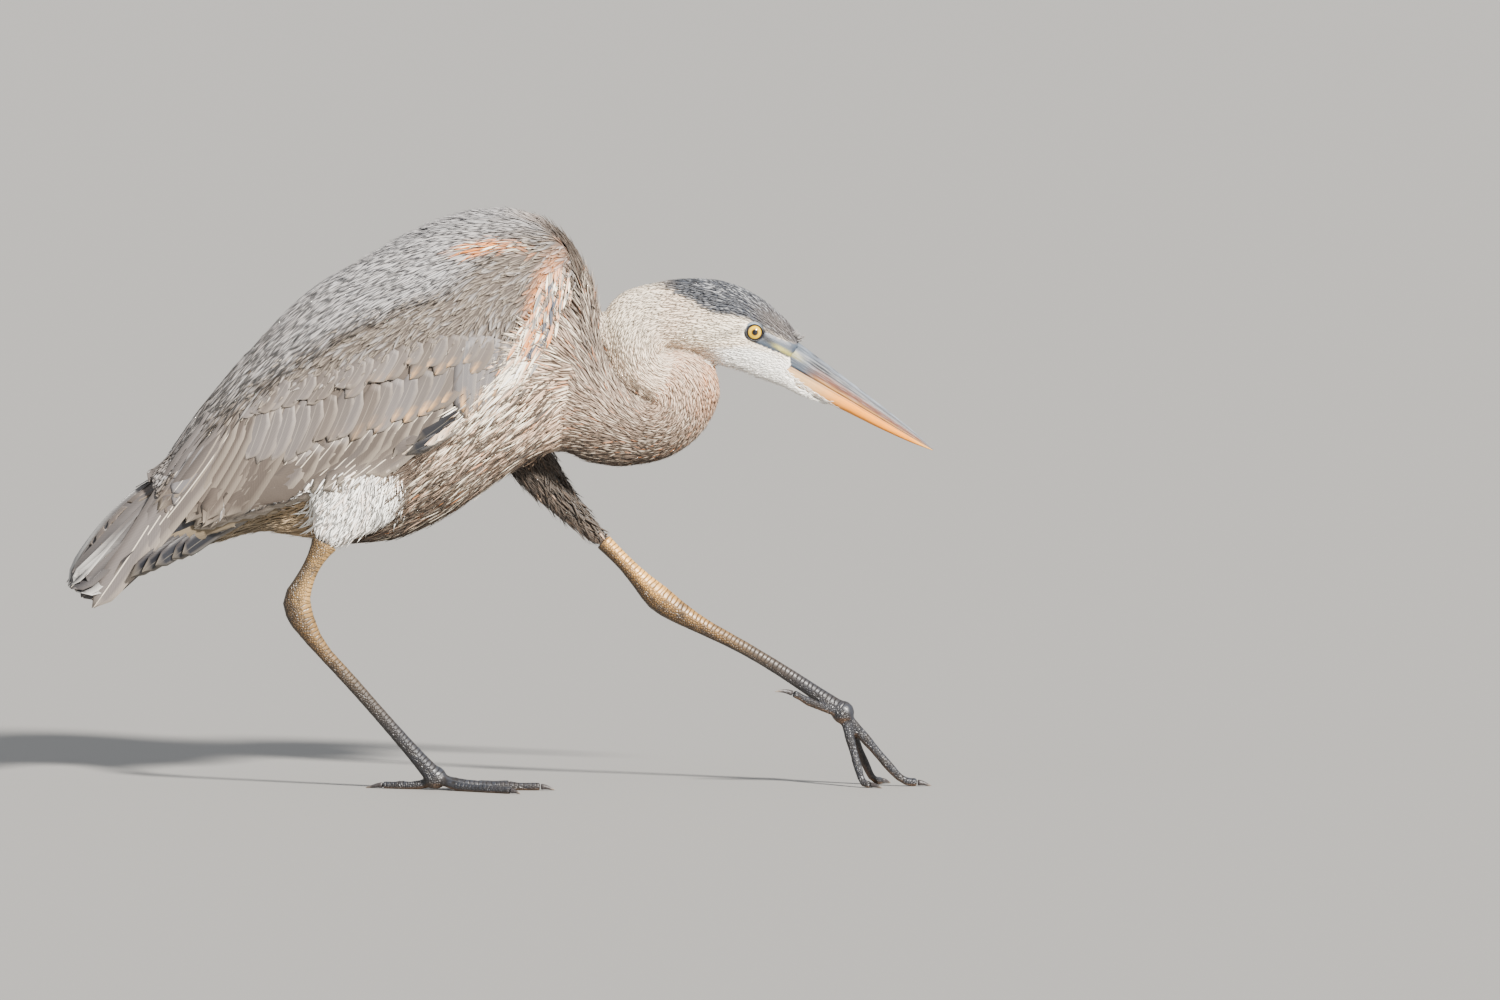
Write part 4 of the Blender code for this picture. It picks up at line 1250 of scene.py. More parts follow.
def ranked(side, roots_line, tips_line, count, steps, bow=0.03, uneven=0.0, far=False):
    """Stations of a row of feathers whose roots and tips follow two side-view lines on one side of the bird.
    A far row reaches over several forms and keeps one even curve."""
    shares = np.clip(np.linspace(0, 1, count) + chance.uniform(-0.25, 0.25, count) / count, 0, 1)
    roots, tips = along_line(roots_line, shares), along_line(tips_line, shares)
    tips = tips + unit(tips - roots) * uneven * chance.standard_normal((count, 1))
    run = tips - roots
    beside = np.stack([-run[:, 1], run[:, 0]], 1)
    t = np.linspace(0, 1, steps)
    bent = (bow * 4 * t * (1 - t))[None, :, None]
    flat = roots[:, None] + run[:, None] * t[None, :, None] + beside[:, None] * bent
    spots, normals = outer.from_side(side, flat.reshape(-1, 2))
    spots, normals = spots.reshape(count, steps, 3), normals.reshape(count, steps, 3)
    spots[:, :, [0, 2]] = flat
    out = spots[:, :, 1] * side
    for k in range(2, steps):
        out[:, k] = np.maximum(out[:, k], 2 * out[:, k - 1] - out[:, k - 2] - 0.9)
        normals[:, k] = np.where(normals[:, k, 1:2] * side < 0.4, normals[:, k - 1], normals[:, k])
    if far:
        out = np.stack([np.polyval(np.polyfit(t, row, 2), t) for row in out])
        normals = normals * 0.2 + normals.mean((0, 1)) * 0.8
    spots[:, :, 1] = calmed(out, 2) * side
    normals = unit(calmed(normals, 4))
    ways = np.gradient(spots, axis=1)
    ways = unit(ways - normals * (ways * normals).sum(2, keepdims=True))
    return spots, normals, ways


def raised(spots, normals, low, high, bend=1.0):
    """Stations lifted over the surface, from low at the root to high at the tip."""
    return spots + normals * (low + (high - low) * np.linspace(0, 1, spots.shape[1]) ** bend)[None, :, None]


def side_line(*places):
    """A side-view line, given as x, z pairs."""
    return np.array(places, float).reshape(-1, 2)


LOWER_EDGE = np.array(WING_EDGE[::-1], float)
SECONDARY_ROOTS = side_line(
    32, 360, 10, 343, -16, 324, -49, 311, -83, 299, -114, 289, -138, 280, -166, 270, -184, 268
)
GREATER_TIPS = side_line(
    -24, 312, -38, 315, -56, 304, -72, 298, -88, 293, -108, 287, -128, 283, -150, 276, -176, 268, -200, 266
)
GREATER_ROOTS = side_line(
    0, 356, -14, 352, -34, 344, -54, 338, -72, 333, -94, 328, -112, 324, -136, 318, -160, 312, -186, 308
)
MEDIAN_TIPS = side_line(
    -12, 330, -34, 336, -58, 338, -90, 332, -110, 326, -126, 321, -150, 314, -180, 310, -206, 300
)
MEDIAN_ROOTS = side_line(
    6, 362, -14, 366, -38, 367, -66, 360, -90, 352, -108, 346, -132, 338, -162, 332, -192, 318
)
DARK_ROOTS = side_line(-8, 326, -5, 317, -3, 309)
DARK_TIPS = side_line(-63, 281, -67, 277, -72, 271)
FRINGE_ROOTS = side_line(-8, 309, -22, 302, -38, 293, -54, 283)
FRINGE_TIPS = side_line(-30, 293, -46, 283, -64, 273, -84, 263)
MARGIN_ROOTS = side_line(-24, 362, -16, 366, -6, 366, 4, 362, 14, 358)
MARGIN_TIPS = side_line(-27, 305, -25, 300, -21, 299, -14, 304, -4, 316)
TERTIAL_ROOTS = side_line(-160, 312, -178, 312, -194, 312, -206, 312, -218, 310)
TERTIAL_TIPS = side_line(-214, 220, -230, 212, -246, 212, -260, 222, -272, 232)
LONG_ROOTS = side_line(-208, 296, -218, 300, -228, 302)
LONG_TIPS = side_line(-290, 188, -309, 163, -323, 147)


def rimmed_and_shaded(along, across, tint, pale, dark):
    """A vane with a worn pale rim on its outer side and painted shade along its inner side."""
    # painted shade along the inner side, where the next feather covers it
    tint = mixed(tint, DUSK * 0.6, dark * ease(0.55, 1.0, -across) * ease(0.1, 0.4, along))
    return mixed(tint, SAND, pale * np.maximum(ease(0.8, 1.0, across), ease(0.93, 1.0, along)))


def buff_wedge(amount):
    """Paints the buff wedge that widens towards a feather's tip, boldest on the front of the wing."""

    def paint(along, across, tint, pick, tips):
        # a worn pale rim, and painted shade along the inner side
        tint = rimmed_and_shaded(along, across, tint, 0.12, 0.25)
        share = amount * ease(-150, -30, tips[:, 0]) * (0.3 + 0.7 * pick)
        wide = 0.08 + 0.5 * ease(0.66, 1, along)
        wedge = ease(0.6, 0.95, along) * (1 - ease(0.6, 1.1, np.abs(across) / wide))
        return mixed(tint, BUFF, wedge * share)

    return paint


def worn_rim_and_shade(pale, dark=0.4):
    """Paints a worn pale rim of this strength, and painted shade along the inner side."""

    def paint(along, across, tint, pick, tips):
        return rimmed_and_shaded(along, across, tint, pale, dark)

    return paint


def barred(along, across, tint, pick, tips):
    """Pale feathers with a brown bar and a chalky tip."""
    bar = ease(0.45, 0.6, along) * (1 - ease(0.7, 0.82, along))
    return mixed(mixed(tint, BARK, bar * (0.35 + 0.5 * pick)), CHALK, ease(0.85, 0.95, along) * 0.8)


def shades(count, base, other, most, light=0.08):
    """A colour for each feather, between base and other, some lighter and some darker."""
    colours = mixed(base, other, chance.uniform(0, most, count))
    return colours * np.clip(1 + light * chance.standard_normal(count), 0.75, 1.25)[:, None]


def wing_feathers(name, side):
    """The wing's rows of flight feathers and coverts."""
    flight = Feathers(f"wing_vanes_{name}", VANES, True)
    ranks = Feathers(f"ranked_coverts_{name}", RANKS, True)

    def rank(
        piece, roots_line, tips_line, outline, colours, paint,
        *, count, width, lift, tilt=0.09, ragged=0.3, bend=1.0, steps=9, **layout,
    ):
        """One row. lift is that of its roots and its tips; colours is what shades takes."""
        colours = shades(count, *colours)
        spots, normals, ways = ranked(side, roots_line, tips_line, count, steps, **layout)
        widths = width * chance.uniform(0.93, 1.07, count)
        places = raised(spots, normals, *lift, bend)
        frayed = {"tilt": tilt * -side, "ragged": ragged}
        piece.put(places, normals, ways, widths, outline, colours, paint, thick=0.45, **frayed)

    rank(
        flight, SECONDARY_ROOTS, LOWER_EDGE, rounded, (DRAB * 0.85, PEWTER, 0.3, 0.05), worn_rim_and_shade(0.25, 0.15),
        count=22, width=22, lift=(-1.7, -0.9), bow=0.05, tilt=0.045, ragged=0.6,
    )
    rank(
        ranks, FRINGE_ROOTS, FRINGE_TIPS, pointed, (CREAM, RUFOUS, 0.5), barred,
        count=12, width=8, lift=(-0.8, 0.3), ragged=1.0, uneven=2.0,
    )
    rank(
        ranks, TERTIAL_ROOTS, TERTIAL_TIPS, rounded, (DUSK * 0.7, DRAB, 0.5), worn_rim_and_shade(0.15),
        count=10, width=21, lift=(-1.5, -0.2), ragged=2.6, uneven=4.0, tilt=0.06,
    )
    rank(
        flight, LONG_ROOTS, LONG_TIPS, rounded, (DRAB * 0.8, PEWTER, 0.5), worn_rim_and_shade(0.2),
        count=4, width=22, lift=(-2.6, 1.8), bow=0.02, steps=17, ragged=1.0, tilt=0.05, bend=0.5, far=True,
    )
    rank(
        ranks, GREATER_ROOTS, GREATER_TIPS, pointed, (DRAB, PEWTER, 0.6, 0.06), buff_wedge(1.0),
        count=18, width=17, lift=(-1.3, -0.75), ragged=1.0, uneven=3.0, tilt=0.05,
    )
    rank(
        ranks, MEDIAN_ROOTS, MEDIAN_TIPS, pointed, (DRAB, PEWTER, 0.5, 0.06), buff_wedge(0.5),
        count=22, width=14, lift=(-1.1, -0.5), ragged=1.6, uneven=4.5, tilt=0.06,
    )
    rank(
        ranks, MARGIN_ROOTS, MARGIN_TIPS, rounded, (PEWTER, DRAB, 0.4), buff_wedge(0.8),
        count=7, width=14, lift=(-1.0, 0.6), bow=-0.02, tilt=0.05,
    )
    flight.finish()
    ranks.finish()
    dark = Feathers(f"primary_coverts_{name}", QUILLS, True)
    spots, normals, ways = ranked(side, DARK_ROOTS, DARK_TIPS, 4, 9)
    places, widths = raised(spots, normals, -1.0, -0.2), np.full(4, 13.0)
    colours, paint = shades(4, INK, SLATE, 0.5), worn_rim_and_shade(0.12, 0.2)
    dark.put(places, normals, ways, widths, rounded, colours, paint, thick=0.4, tilt=-0.06 * side, ragged=0.2)
    dark.finish()


for name, side in SIDES.items():
    wing_feathers(name, side)


def covert_vanes(name, side):
    """The small coverts between the scapulars and the wing's ranked feathers."""
    piece = Feathers(f"coverts_{name}", COVERTS, False)
    region = f"wing_{name}"
    above_rows = face_z - level(MEDIAN_ROOTS[::-1], face_x)
    outward = (face_y * side > 0) & (face_lean * side > 0.0)
    chosen = faces_of(region) & outward & (above_scapulars < 3) & ((above_rows > -6) | (face_x > 4))
    roots = scattered(skin, chosen, 3.0)
    count = len(roots)
    far = 1 - ease(-220, 40, roots[:, 0])
    length = (13 + 5 * far) * chance.uniform(0.75, 1.25, count)
    width = (3.6 + 0.8 * far) * chance.uniform(0.8, 1.2, count)
    ruffled = chance.random(count) ** 4

    def lift(share):
        return (0.9 + 1.9 * ruffled) * share + 0.5 - 0.5 * (1 - share)

    places, normals, ways = laid(skin, roots, region, length, 5, 0.2 * chance.standard_normal(count), lift)
    colours = varied(markings(roots, region), region, roots)

    def paint(along, across, tint, pick, tips):
        # darker towards the root: painted shade where the coverts overlap
        tint = mixed(tint, DUSK, 0.25 * (1 - ease(0.2, 0.7, along)))
        streak = (1 - ease(0.0, 0.6, np.abs(across))) * ease(0.3, 0.9, along)
        return mixed(tint, SAND, streak * 0.13 + (0.05 + 0.15 * pick) * ease(0.8, 1, along))

    loose = {"across_points": 3, "thick": 0.35, "camber": 0.15, "tilt": -0.1 * side, "ragged": 1.0}
    piece.put(places, normals, ways, width, lance, colours, paint, **loose)
    piece.finish()


LIE["tail"] = ((-250, 270, 231), (-300, 225, 229), (-345, 170, 226), (-272, 195, 222), (-320, 150, 222))


def tail_feathers():
    """Twelve tail feathers spread over the arch of the tail, and the coverts over their roots."""
    piece = Feathers("tail_feathers", VANES, True)

    def paint(along, across, tint, pick, tips):
        long = lengths.max() > 100
        edge = ease(0.55, 1, np.abs(across))
        tint = mixed(tint, INK, ease(0.3, 0.55, along) * (1 - edge) * (0.6 + 0.35 * pick) * long)
        return mixed(tint, CHALK, 0.35 * edge * ease(0.4, 0.8, along) * long * (pick > 0.4))

    for count, spread, start, long, wide, lift, base in (
        (13, 128, -258, 130, 25, 0.0, PEWTER * 0.6),
        (13, 104, -246, 60, 16, 0.7, PEWTER * 0.7),
        (13, 92, -232, 48, 13, 1.0, PEWTER * 0.8),
    ):
        turns = np.radians(np.linspace(-spread, spread, count))
        turns = turns[np.argsort(-np.abs(turns))]
        middle = (start, 0, 0.9 * (start + 262) + 226)
        ways_out = [(0, math.sin(turn), math.cos(turn)) for turn in turns]
        hits = (outer.tree.ray_cast(middle, way)[0] for way in ways_out)
        roots = np.array([tuple(hit or (start, 0, 250)) for hit in hits])
        fall = np.abs(turns) / math.radians(128)
        lengths = long * (1 - 0.30 * fall**2)
        low = -0.8 - 1.6 * fall + lift
        places, normals, ways = laid(
            outer, roots, "tail", lengths, 14, np.zeros(count), lambda share: low + 0.6 * share
        )
        places, normals, widths = calmed(places, 6), unit(calmed(normals, 10)), np.full(count, float(wide))
        colours = shades(count, base, DRAB, 0.4)
        stiff = {"thick": 0.7, "camber": 0.06, "ragged": 0.6}
        piece.put(places, normals, ways, widths, rounded, colours, paint, **stiff)
    return piece.finish()


def tail_bed():
    """The down that fills the tail and the folded flight feathers' roots, seen only between the feathers."""
    points, faces = arrays(fused(["tail", "primaries_right", "primaries_left"], 2.4, -1.6))
    surface = Surface(points, faces)
    # beige where the surface faces down: the undertail's whitish down darkened as painted shade
    under = 1 - ease(-0.2, 0.25, surface.normals[:, 2])
    tint = mixed(mixed(MOUSE, INK, 0.5), tone(110, 97, 77), under)
    piece = mesh_of("tail_bed", surface.evened(points, 3), faces, [DOWN], tint=tint, vane=surface.normals)
    return settled(piece)


PRIMARY_ROOTS = side_line(-176, 238, -178, 232, -184, 226, -190, 222)
PRIMARY_TIPS = side_line(-306, 172, -296, 170, -278, 178, -250, 190)


def primary_feathers(name, side):
    """The folded black flight feathers under the wing's rear."""
    piece = Feathers(f"primary_vanes_{name}", QUILLS, True)
    spots, normals, ways = ranked(side, PRIMARY_ROOTS, PRIMARY_TIPS, 6, 13, -0.04, far=True)
    places, widths = raised(spots, normals, -7.0, -0.8, 0.6), np.full(6, 17.0)
    colours, paint = shades(6, INK, SLATE, 0.1), worn_rim_and_shade(0.15)
    stiff = {"thick": 0.7, "tilt": 0.12 * -side, "ragged": 0.2}
    piece.put(places, normals, ways, widths, rounded, colours, paint, **stiff)
    return piece.finish()


for name, side in SIDES.items():
    covert_vanes(name, side)
    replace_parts(primary_feathers(name, side), f"primaries_{name}")
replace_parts(tail_feathers(), "tail")
tail_bed()


LIE["plumes"] = (
    (56, 415, 252), (44, 385, 244), (26, 352, 234), (2, 326, 226), (-31, 268, 220), (-60, 262, 216),
    (0, 268, 213), (40, 300, 218), (-70, 236, 212), (50, 276, 204),
)
LIE["thigh_plumes"] = (
    (-110, 262, 242), (-80, 250, 252), (-92, 225, 252), (-130, 225, 234), (-160, 215, 214),
    (-140, 200, 236),
)

LOOSE = {"across_points": 3, "thick": 0.25, "camber": 0.15}  # the vane of a loose plume


def strewn(surface, chosen, apart, region, reach, steps, sway, rise, ruffle, base, power=3, bend=1.0):
    """Roots over the chosen faces, and the stations of feathers of uneven lengths, some of them ruffled."""
    roots = scattered(surface, chosen, apart)
    ruffled = chance.random(len(roots)) ** power
    lengths = chance.uniform(*reach, len(roots))
    sways = sway * chance.standard_normal(len(roots))

    def lift(share):
        return base + (rise + ruffle * ruffled) * share**bend

    return roots, *laid(surface, roots, region, lengths, steps, sways, lift)


def picked(pick, *choices):
    """For each pick, the first colour whose limit is above it."""
    colours = choices[-1][1]
    for limit, colour in choices[-2::-1]:
        colours = np.where(pick < limit, colour, colours)
    return colours


def breast_plumes():
    """Long loose plumes, cream, buff and rufous, that fall from the shoulders over the wings' front edges."""
    front = ((-2, 318), (14, 336), (28, 356), (38, 380), (46, 400), (52, 414))
    off = np.linalg.norm(on_path(face_middles[:, [0, 2]], front)[1], axis=1)
    chosen = (off < 10) & (np.abs(face_y) > 22) & (np.abs(face_lean) > 0.25)
    roots = scattered(skin, chosen, 3.1)
    count = len(roots)
    high = ease(338, 368, roots[:, 2])
    length = chance.uniform(20, 44, count) * (1 - 0.4 * high)
    ruffled = chance.random(count) ** 4
    sways = 0.16 * chance.standard_normal(count)
    places, normals, ways = laid(
        skin, roots, "plumes", length, 8, sways, lambda share: 0.2 + (2.6 + 2.4 * ruffled) * share**0.7
    )
    pick, high = chance.random(count)[:, None], high[:, None]
    low_colours = picked(pick, (0.5, CREAM), (0.7, CHALK), (0.85, FAWN), (1, MOUSE))
    rufous = mixed(RUFOUS, FAWN, chance.uniform(0, 0.6, count))
    high_colours = picked(pick, (0.45, rufous), (0.6, CREAM), (0.8, SLATE * 1.5), (1, MOUSE))
    colours = np.where(chance.random((count, 1)) < high, high_colours, low_colours)

    def paint(along, across, tint, pick, tips):
        return mixed(tint, CREAM, 0.5 * ease(0.5, 1, np.abs(across)) * (pick > 0.5))

    widths = chance.uniform(1.6, 3.4, count) + 1.8 * high[:, 0]
    piece = Feathers("breast_plumes", COVERTS, False)
    piece.put(calmed(places, 3), normals, ways, widths, lance, colours, paint, **LOOSE, ragged=0.8)
    piece.finish()


breast_plumes()


def streaked_plumes():
    """Narrow plumes, cream to dark brown, that trail back over the lower breast and the flanks."""
    below = face_z < np.where(face_x < -28, level(WING_EDGE, face_x) - 4, 338)
    chosen = faces_of("trunk") & (face_x > -84) & (face_x < 52) & below & (np.abs(face_lean) > 0.12)
    roots, places, normals, ways = strewn(
        skin, chosen, apart=3.6, region="plumes", reach=(22, 44), steps=7, sway=0.17, rise=2.3, ruffle=1.8,
        base=0.4, power=4, bend=0.7,
    )
    count = len(roots)
    pick, low = chance.random(count)[:, None], 1 - ease(225, 300, roots[:, 2])
    colours = picked(pick, (0.2, CREAM), (0.36, FAWN), (0.6, DRAB), (1, BARK * 0.8))
    # lower plumes darkened with brown: partly their own colour, partly painted shade on the underside
    colours = mixed(colours, BARK * 0.7, low * chance.uniform(0.35, 1.0, count))
    widths = chance.uniform(1.3, 2.6, count)
    piece = Feathers("streaked_plumes", COVERTS, False)
    piece.put(calmed(places, 2), normals, ways, widths, lance, colours, **LOOSE, ragged=0.6)
    piece.finish()


def thigh_plumes():
    """Loose plumes that hang over the thighs, white on the right one and brown on the left one, whose brown
    is partly painted shade.
    """
    piece = Feathers("thigh_plumes", COVERTS, False)
    for side, region, apart, colour in (
        ("right", "thigh_plumes", 4.6, CHALK),
        # the far thigh's plumes: brown, partly their own colour and partly painted shade from the body
        ("left", "thigh_left", 6.0, BARK * 0.7),
    ):
        roots, places, normals, ways = strewn(
            skin, faces_of(f"thigh_{side}"), apart, region, reach=(16, 30), steps=6, sway=0.22, rise=2.0,
            ruffle=2.6, base=0.5,
        )
        count = len(roots)
        colours = mixed(colour, FAWN, (chance.random(count) < 0.2) * 0.5)
        widths = chance.uniform(2.0, 3.8, count)
        piece.put(places, normals, ways, widths, lance, colours, **{**LOOSE, "camber": 0.2}, ragged=1.0)
    piece.finish()


streaked_plumes()
thigh_plumes()


# ---- Bare skin, eyes, bill and claws ----
LEG_LINES = {
    "right": (
        (-104.5, -34, 268), (-124.5, -38, 222), (-137.5, -38, 200), (-146.5, -38, 184),
        (-154.5, -37, 168), (-160, -36, 153), (-155.5, -34, 137), (-146.5, -31, 122), (-50.5, -6, 9.9),
    ),
    "left": (
        (11.5, 33, 288), (51.5, 34, 229), (83.5, 34, 197), (100.5, 34, 180), (115.5, 34, 164),
        (127.5, 34, 152), (142.5, 33.5, 141), (159.5, 33, 131), (276, 27, 60),
    ),
}
ANKLE_RUN = {  # how far down each leg's line the ankle is
    side: sum(math.dist(a, b) for a, b in zip(line[:5], line[1:6])) for side, line in LEG_LINES.items()
}
LEG_COLOURS = {  # each leg's pale front, and the brown of its rear, which is partly painted shade on the side away from the light
    "right": (tone(150, 118, 70), tone(36, 27, 19)),
    "left": (tone(188, 140, 70), tone(34, 24, 16)),
}


def leg_marks(surface):
    """The legs' colours, and for their scales (run in mm, front share, is a toe) at each point."""
    points, normals = surface.points, surface.normals
    labels = np.array(LEGS)[labels_for(points, LEGS)]
    tint, limb = np.zeros_like(points), np.zeros_like(points)
    for side, line in LEG_LINES.items():
        mine = np.char.endswith(labels, side)
        run, off = on_path(points, line)
        far = run - ANKLE_RUN[side]
        front = unit(off)[:, 0] * 0.75 + unit(off)[:, 2] * 0.55
        pale, brown = LEG_COLOURS[side]
        base = layered(
            pale,
            # the rear darker: partly its own brown, partly painted shade
            (brown, ease(-0.2, 0.5, -front) * 0.85),
            (tone(92, 68, 36), ease(-10, 20, far) * 0.7),
            (tone(54, 48, 42), ease(30, 95, far) * 0.9),
            (tone(32, 34, 40), ease(80, 150, far) * 0.95),
        )
        tint = np.where(mine[:, None], base, tint)
        limb = np.where(mine[:, None], np.stack([run, front, np.zeros(len(points))], 1), limb)
    toes = np.char.startswith(labels, "toe") | np.char.startswith(labels, "foot")
    for side in SIDES:
        for toe in TOES:
            mine = labels == f"toe_{toe}_{side}"
            knuckle, claw = np.array(LEG_LINES[side][-1]), centre_of(f"claw_{toe}_{side}")
            run, _ = on_path(points, (knuckle, claw))
            limb = np.where(mine[:, None], np.stack([run, normals[:, 2], np.ones(len(points))], 1), limb)
    under = ease(0.2, 0.9, -normals[:, 2])
    base = mixed(tone(34, 36, 42), tone(128, 92, 56), under * 0.7)
    return np.where(toes[:, None], base, tint), limb


def scale_group():
    """Scales of bare legs: plates across the front and toes, small many-sided ones elsewhere."""
    group, given, result = new_group(
        "leg scales",
        (("Limb", "Vector", (0, 0, 0)), ("Plate Length", "Float", 3.6), ("Cell Scale", "Float", 520.0)),
        (("Seam", "Float"), ("Height", "Float")),
    )
    parts = add(group, "ShaderNodeSeparateXYZ", Vector=given["Limb"]).outputs
    place = own_place(group)
    run = plus(math_of("DIVIDE", parts["X"], given["Plate Length"]), times(noise(place, 160.0, 1.0), 0.7))
    wave = math_of("ABSOLUTE", minus(math_of("FRACT", run), 0.5))
    cells = add(
        group, "ShaderNodeTexVoronoi", settings=(("feature", "DISTANCE_TO_EDGE"),), Vector=place,
        Scale=given["Cell Scale"], Randomness=0.8,
    ).outputs["Distance"]
    plate, cell = slope(minus(0.5, wave), 5.0), slope(cells, 4.5)
    height = add(group, "ShaderNodeMix", i0=slope(minus(parts["Y"], 0.15), 4.0), i2=cell, i3=plate).outputs[0]
    feed(result, Seam=minus(1.0, height), Height=height)
    return group


def leg_finish():
    """Bare legs: blotched scaly skin with dark seams."""
    material, finish = shader("scaled_leg_skin", 0.42)
    tree = material.node_tree
    limb = named(tree, "limb")
    scales = add(tree, "ShaderNodeGroup", settings=(("node_tree", scale_group()),), Limb=limb).outputs
    blotch = noise(own_place(tree), 90.0, 4.0, 0.65)
    dark = times(slope(minus(blotch, 0.47), 5.0), 0.7)
    base = mix_of(dark, named(tree, "tint", "Color"), tone(36, 28, 21))
    feed(
        finish,
        Base_Color=mix_of(times(scales["Seam"], 0.85), base, tone(22, 18, 15)),
        Normal=bumps(scales["Height"], 0.75, 0.0006),
        Roughness=plus(times(blotch, 0.3), 0.28),
    )
    return material


def soft_skin_finish(name, roughness, scale, strength, spots):
    """Skin whose colour is its markings, with fine pores and a little mottling."""
    material, finish = shader(name, roughness)
    tree = material.node_tree
    pores = noise(own_place(tree), scale, 5.0, 0.6)
    shade = plus(times(pores, spots), 1 - spots / 2)
    feed(finish, Base_Color=dimmed(named(tree, "tint", "Color"), shade), Normal=bumps(pores, strength))
    return material


def body_marks():
    """The skin's colours under the feathers and on the bare face."""
    tint = np.zeros_like(body.points)
    for k, region in enumerate(body_nodes):
        mine = body_labels == k
        region = "head" if region.startswith(("eye", "bill")) else region
        tint[mine] = markings(body.points[mine], region)
    return body_marks_of_face(body.evened(tint, 2), body.points)


LORE = tone(58, 67, 78)


def body_marks_of_face(tint, points):
    """The lore: blue-grey skin with a yellow streak, dark along the gape and before the eye."""
    off_gape = np.abs(points[:, 2] - level(BARE_LORE, points[:, 0]))
    lore = layered(
        LORE,
        (tone(160, 150, 62), spot(points, 228, 352.5, 11, 1.7, -31, 0.6) * 0.75),
        (tone(44, 50, 62), spot(points, 230, 357.5, 12, 1.4, -33, 0.7) * 0.8),
        (tone(22, 23, 27), spot(points, 213.5, 362.2, 9, 2.4, -30, 0.6) * 0.95),
        (tone(46, 50, 58), (1 - ease(0.2, 1.6, off_gape)) * 0.85),
        (INK, 1 - ease(7, 9.5, off_eyes(points))),
    )
    return mixed(tint, lore, ease(0.3, 0.7, marks_of_head(points)))


def gaze_of(name, side):
    """The middle of an eye, and the way that it looks."""
    return centre_of(f"eye_{name}"), unit(np.array((0.10, side * 1.0, -0.02)))


def lid_rings():
    """A fleshy rim round each eye, from inside the eyeball out on to the face."""
    count = 56
    turn = np.linspace(0, 2 * math.pi, count, endpoint=False)
    black, dark, pale = tone(14, 14, 17), tone(24, 24, 28), tone(112, 122, 130)
    slant = np.array((0.86, 0, -0.51))  # from the eye's rear corner to its front one

    def near(at, wide):
        return bell(np.angle(np.exp(1j * (turn - at))), wide)

    every_point, every_face, tints = [], [], []
    for name, side in SIDES.items():
        centre, gaze = gaze_of(name, side)
        ahead = unit(slant - gaze * (gaze @ slant))
        above = np.cross(gaze, ahead) * (-side)
        corner = near(0, 0.42) * 1.5 + near(math.pi, 0.4) * 0.5
        rim = 6.35 + corner - 0.35 * near(1.3, 0.7)
        round_eye = ahead * np.cos(turn)[:, None] + above * np.sin(turn)[:, None]
        face_of_eye = np.sqrt(np.maximum(EYE_RADIUS**2 - np.minimum(rim, 9.5) ** 2, 1))
        rows = []
        for out, rise in ((-0.5, -1.4), (0.0, 0.12), (0.2, 0.45), (0.5, 0.5), (0.9, 0.2), (1.4, -0.4)):
            height = face_of_eye + rise - 0.55 * corner
            rows.append(centre + gaze * height[:, None] + round_eye * (rim + out)[:, None])
        last = rows[-1]
        for reach, rise in ((0.12, 0.05), (0.25, -0.8)):
            spots, normals = skin.nearest(last + (last - centre) * reach)
            rows.append(spots + normals * rise)
        faces = ring_faces(len(rows), count)
        every_point.append(np.concatenate(rows))
        every_face.append(faces[:, ::-1] if side < 0 else faces)
        inside = np.tile(black, (3 * count, 1))
        tints.append(np.concatenate([inside, np.tile(mixed(dark, pale, near(2.3, 0.9)), (len(rows) - 3, 1))]))
    return *stacked(every_point, every_face), np.concatenate(tints)


def whole_skin():
    """The skin of body, face, lids and legs in one piece, with three finishes."""
    leg_tint, limb = leg_marks(legs)
    lids, lid_faces, lid_tint = lid_rings()
    points = np.concatenate([skin_points, legs.points, lids])
    at_legs, at_lids = len(skin_points), len(skin_points) + len(legs.points)
    bare = marks_of_head(body.points)[body.faces].mean(1) > 0.5
    finish = np.concatenate([bare.astype(int), np.full(len(legs.faces), 2), np.full(len(lid_faces), 1)])
    piece = mesh_of(
        "skin",
        points,
        [np.concatenate([body.faces, legs.faces + at_legs]), lid_faces + at_lids],
        [
            soft_skin_finish("feathered_skin", roughness=0.8, scale=700, strength=0.4, spots=0.3),
            soft_skin_finish("bare_face", roughness=0.45, scale=1100, strength=0.5, spots=0.35),
            leg_finish(),
        ],
        tint=np.concatenate([body_marks(), leg_tint, lid_tint]),
        limb=np.concatenate([np.zeros_like(skin_points), limb, np.zeros_like(lids)]),
        finish=finish,
    )
    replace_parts(piece, *BODY, *LEGS)
    return settled(piece)


def eye_finish():
    """Yellow iris with fine spokes, black pupil and a dark outer ring, wet all over."""
    material, finish = shader("eye", 0.2, Coat_Weight=0.4, Coat_Roughness=0.02, Specular_IOR_Level=0.3)
    tree = material.node_tree
    gaze = named(tree, "gaze")
    spokes = noise(gaze, (6.0, 22.0, 22.0), 3.0)
    off_middle = add(tree, "ShaderNodeSeparateXYZ", Vector=gaze).outputs["X"]
    ramp = add(tree, "ShaderNodeValToRGB", Fac=plus(off_middle, times(minus(spokes, 0.5), 0.03)))
    stops = ramp.color_ramp.elements
    stops[0].position, stops[0].color = 0.0, (0.004, 0.004, 0.005, 1)
    stops[1].position, stops[1].color = 1.0, (0.01, 0.01, 0.012, 1)
    for at, colour in (
        (0.205, (0.003, 0.003, 0.004)),
        (0.23, tone(90, 60, 0)),
        (0.28, tone(176, 134, 0)),
        (0.42, tone(196, 164, 0)),
        (0.54, tone(170, 132, 0)),
        (0.58, tone(60, 38, 0)),
        (0.60, (0.006, 0.006, 0.008)),
    ):
        stop = stops.new(at)
        stop.color = rgba(colour)
    feed(finish, Base_Color=dimmed(ramp.outputs["Color"], plus(times(spokes, 0.4), 0.85)))
    return material


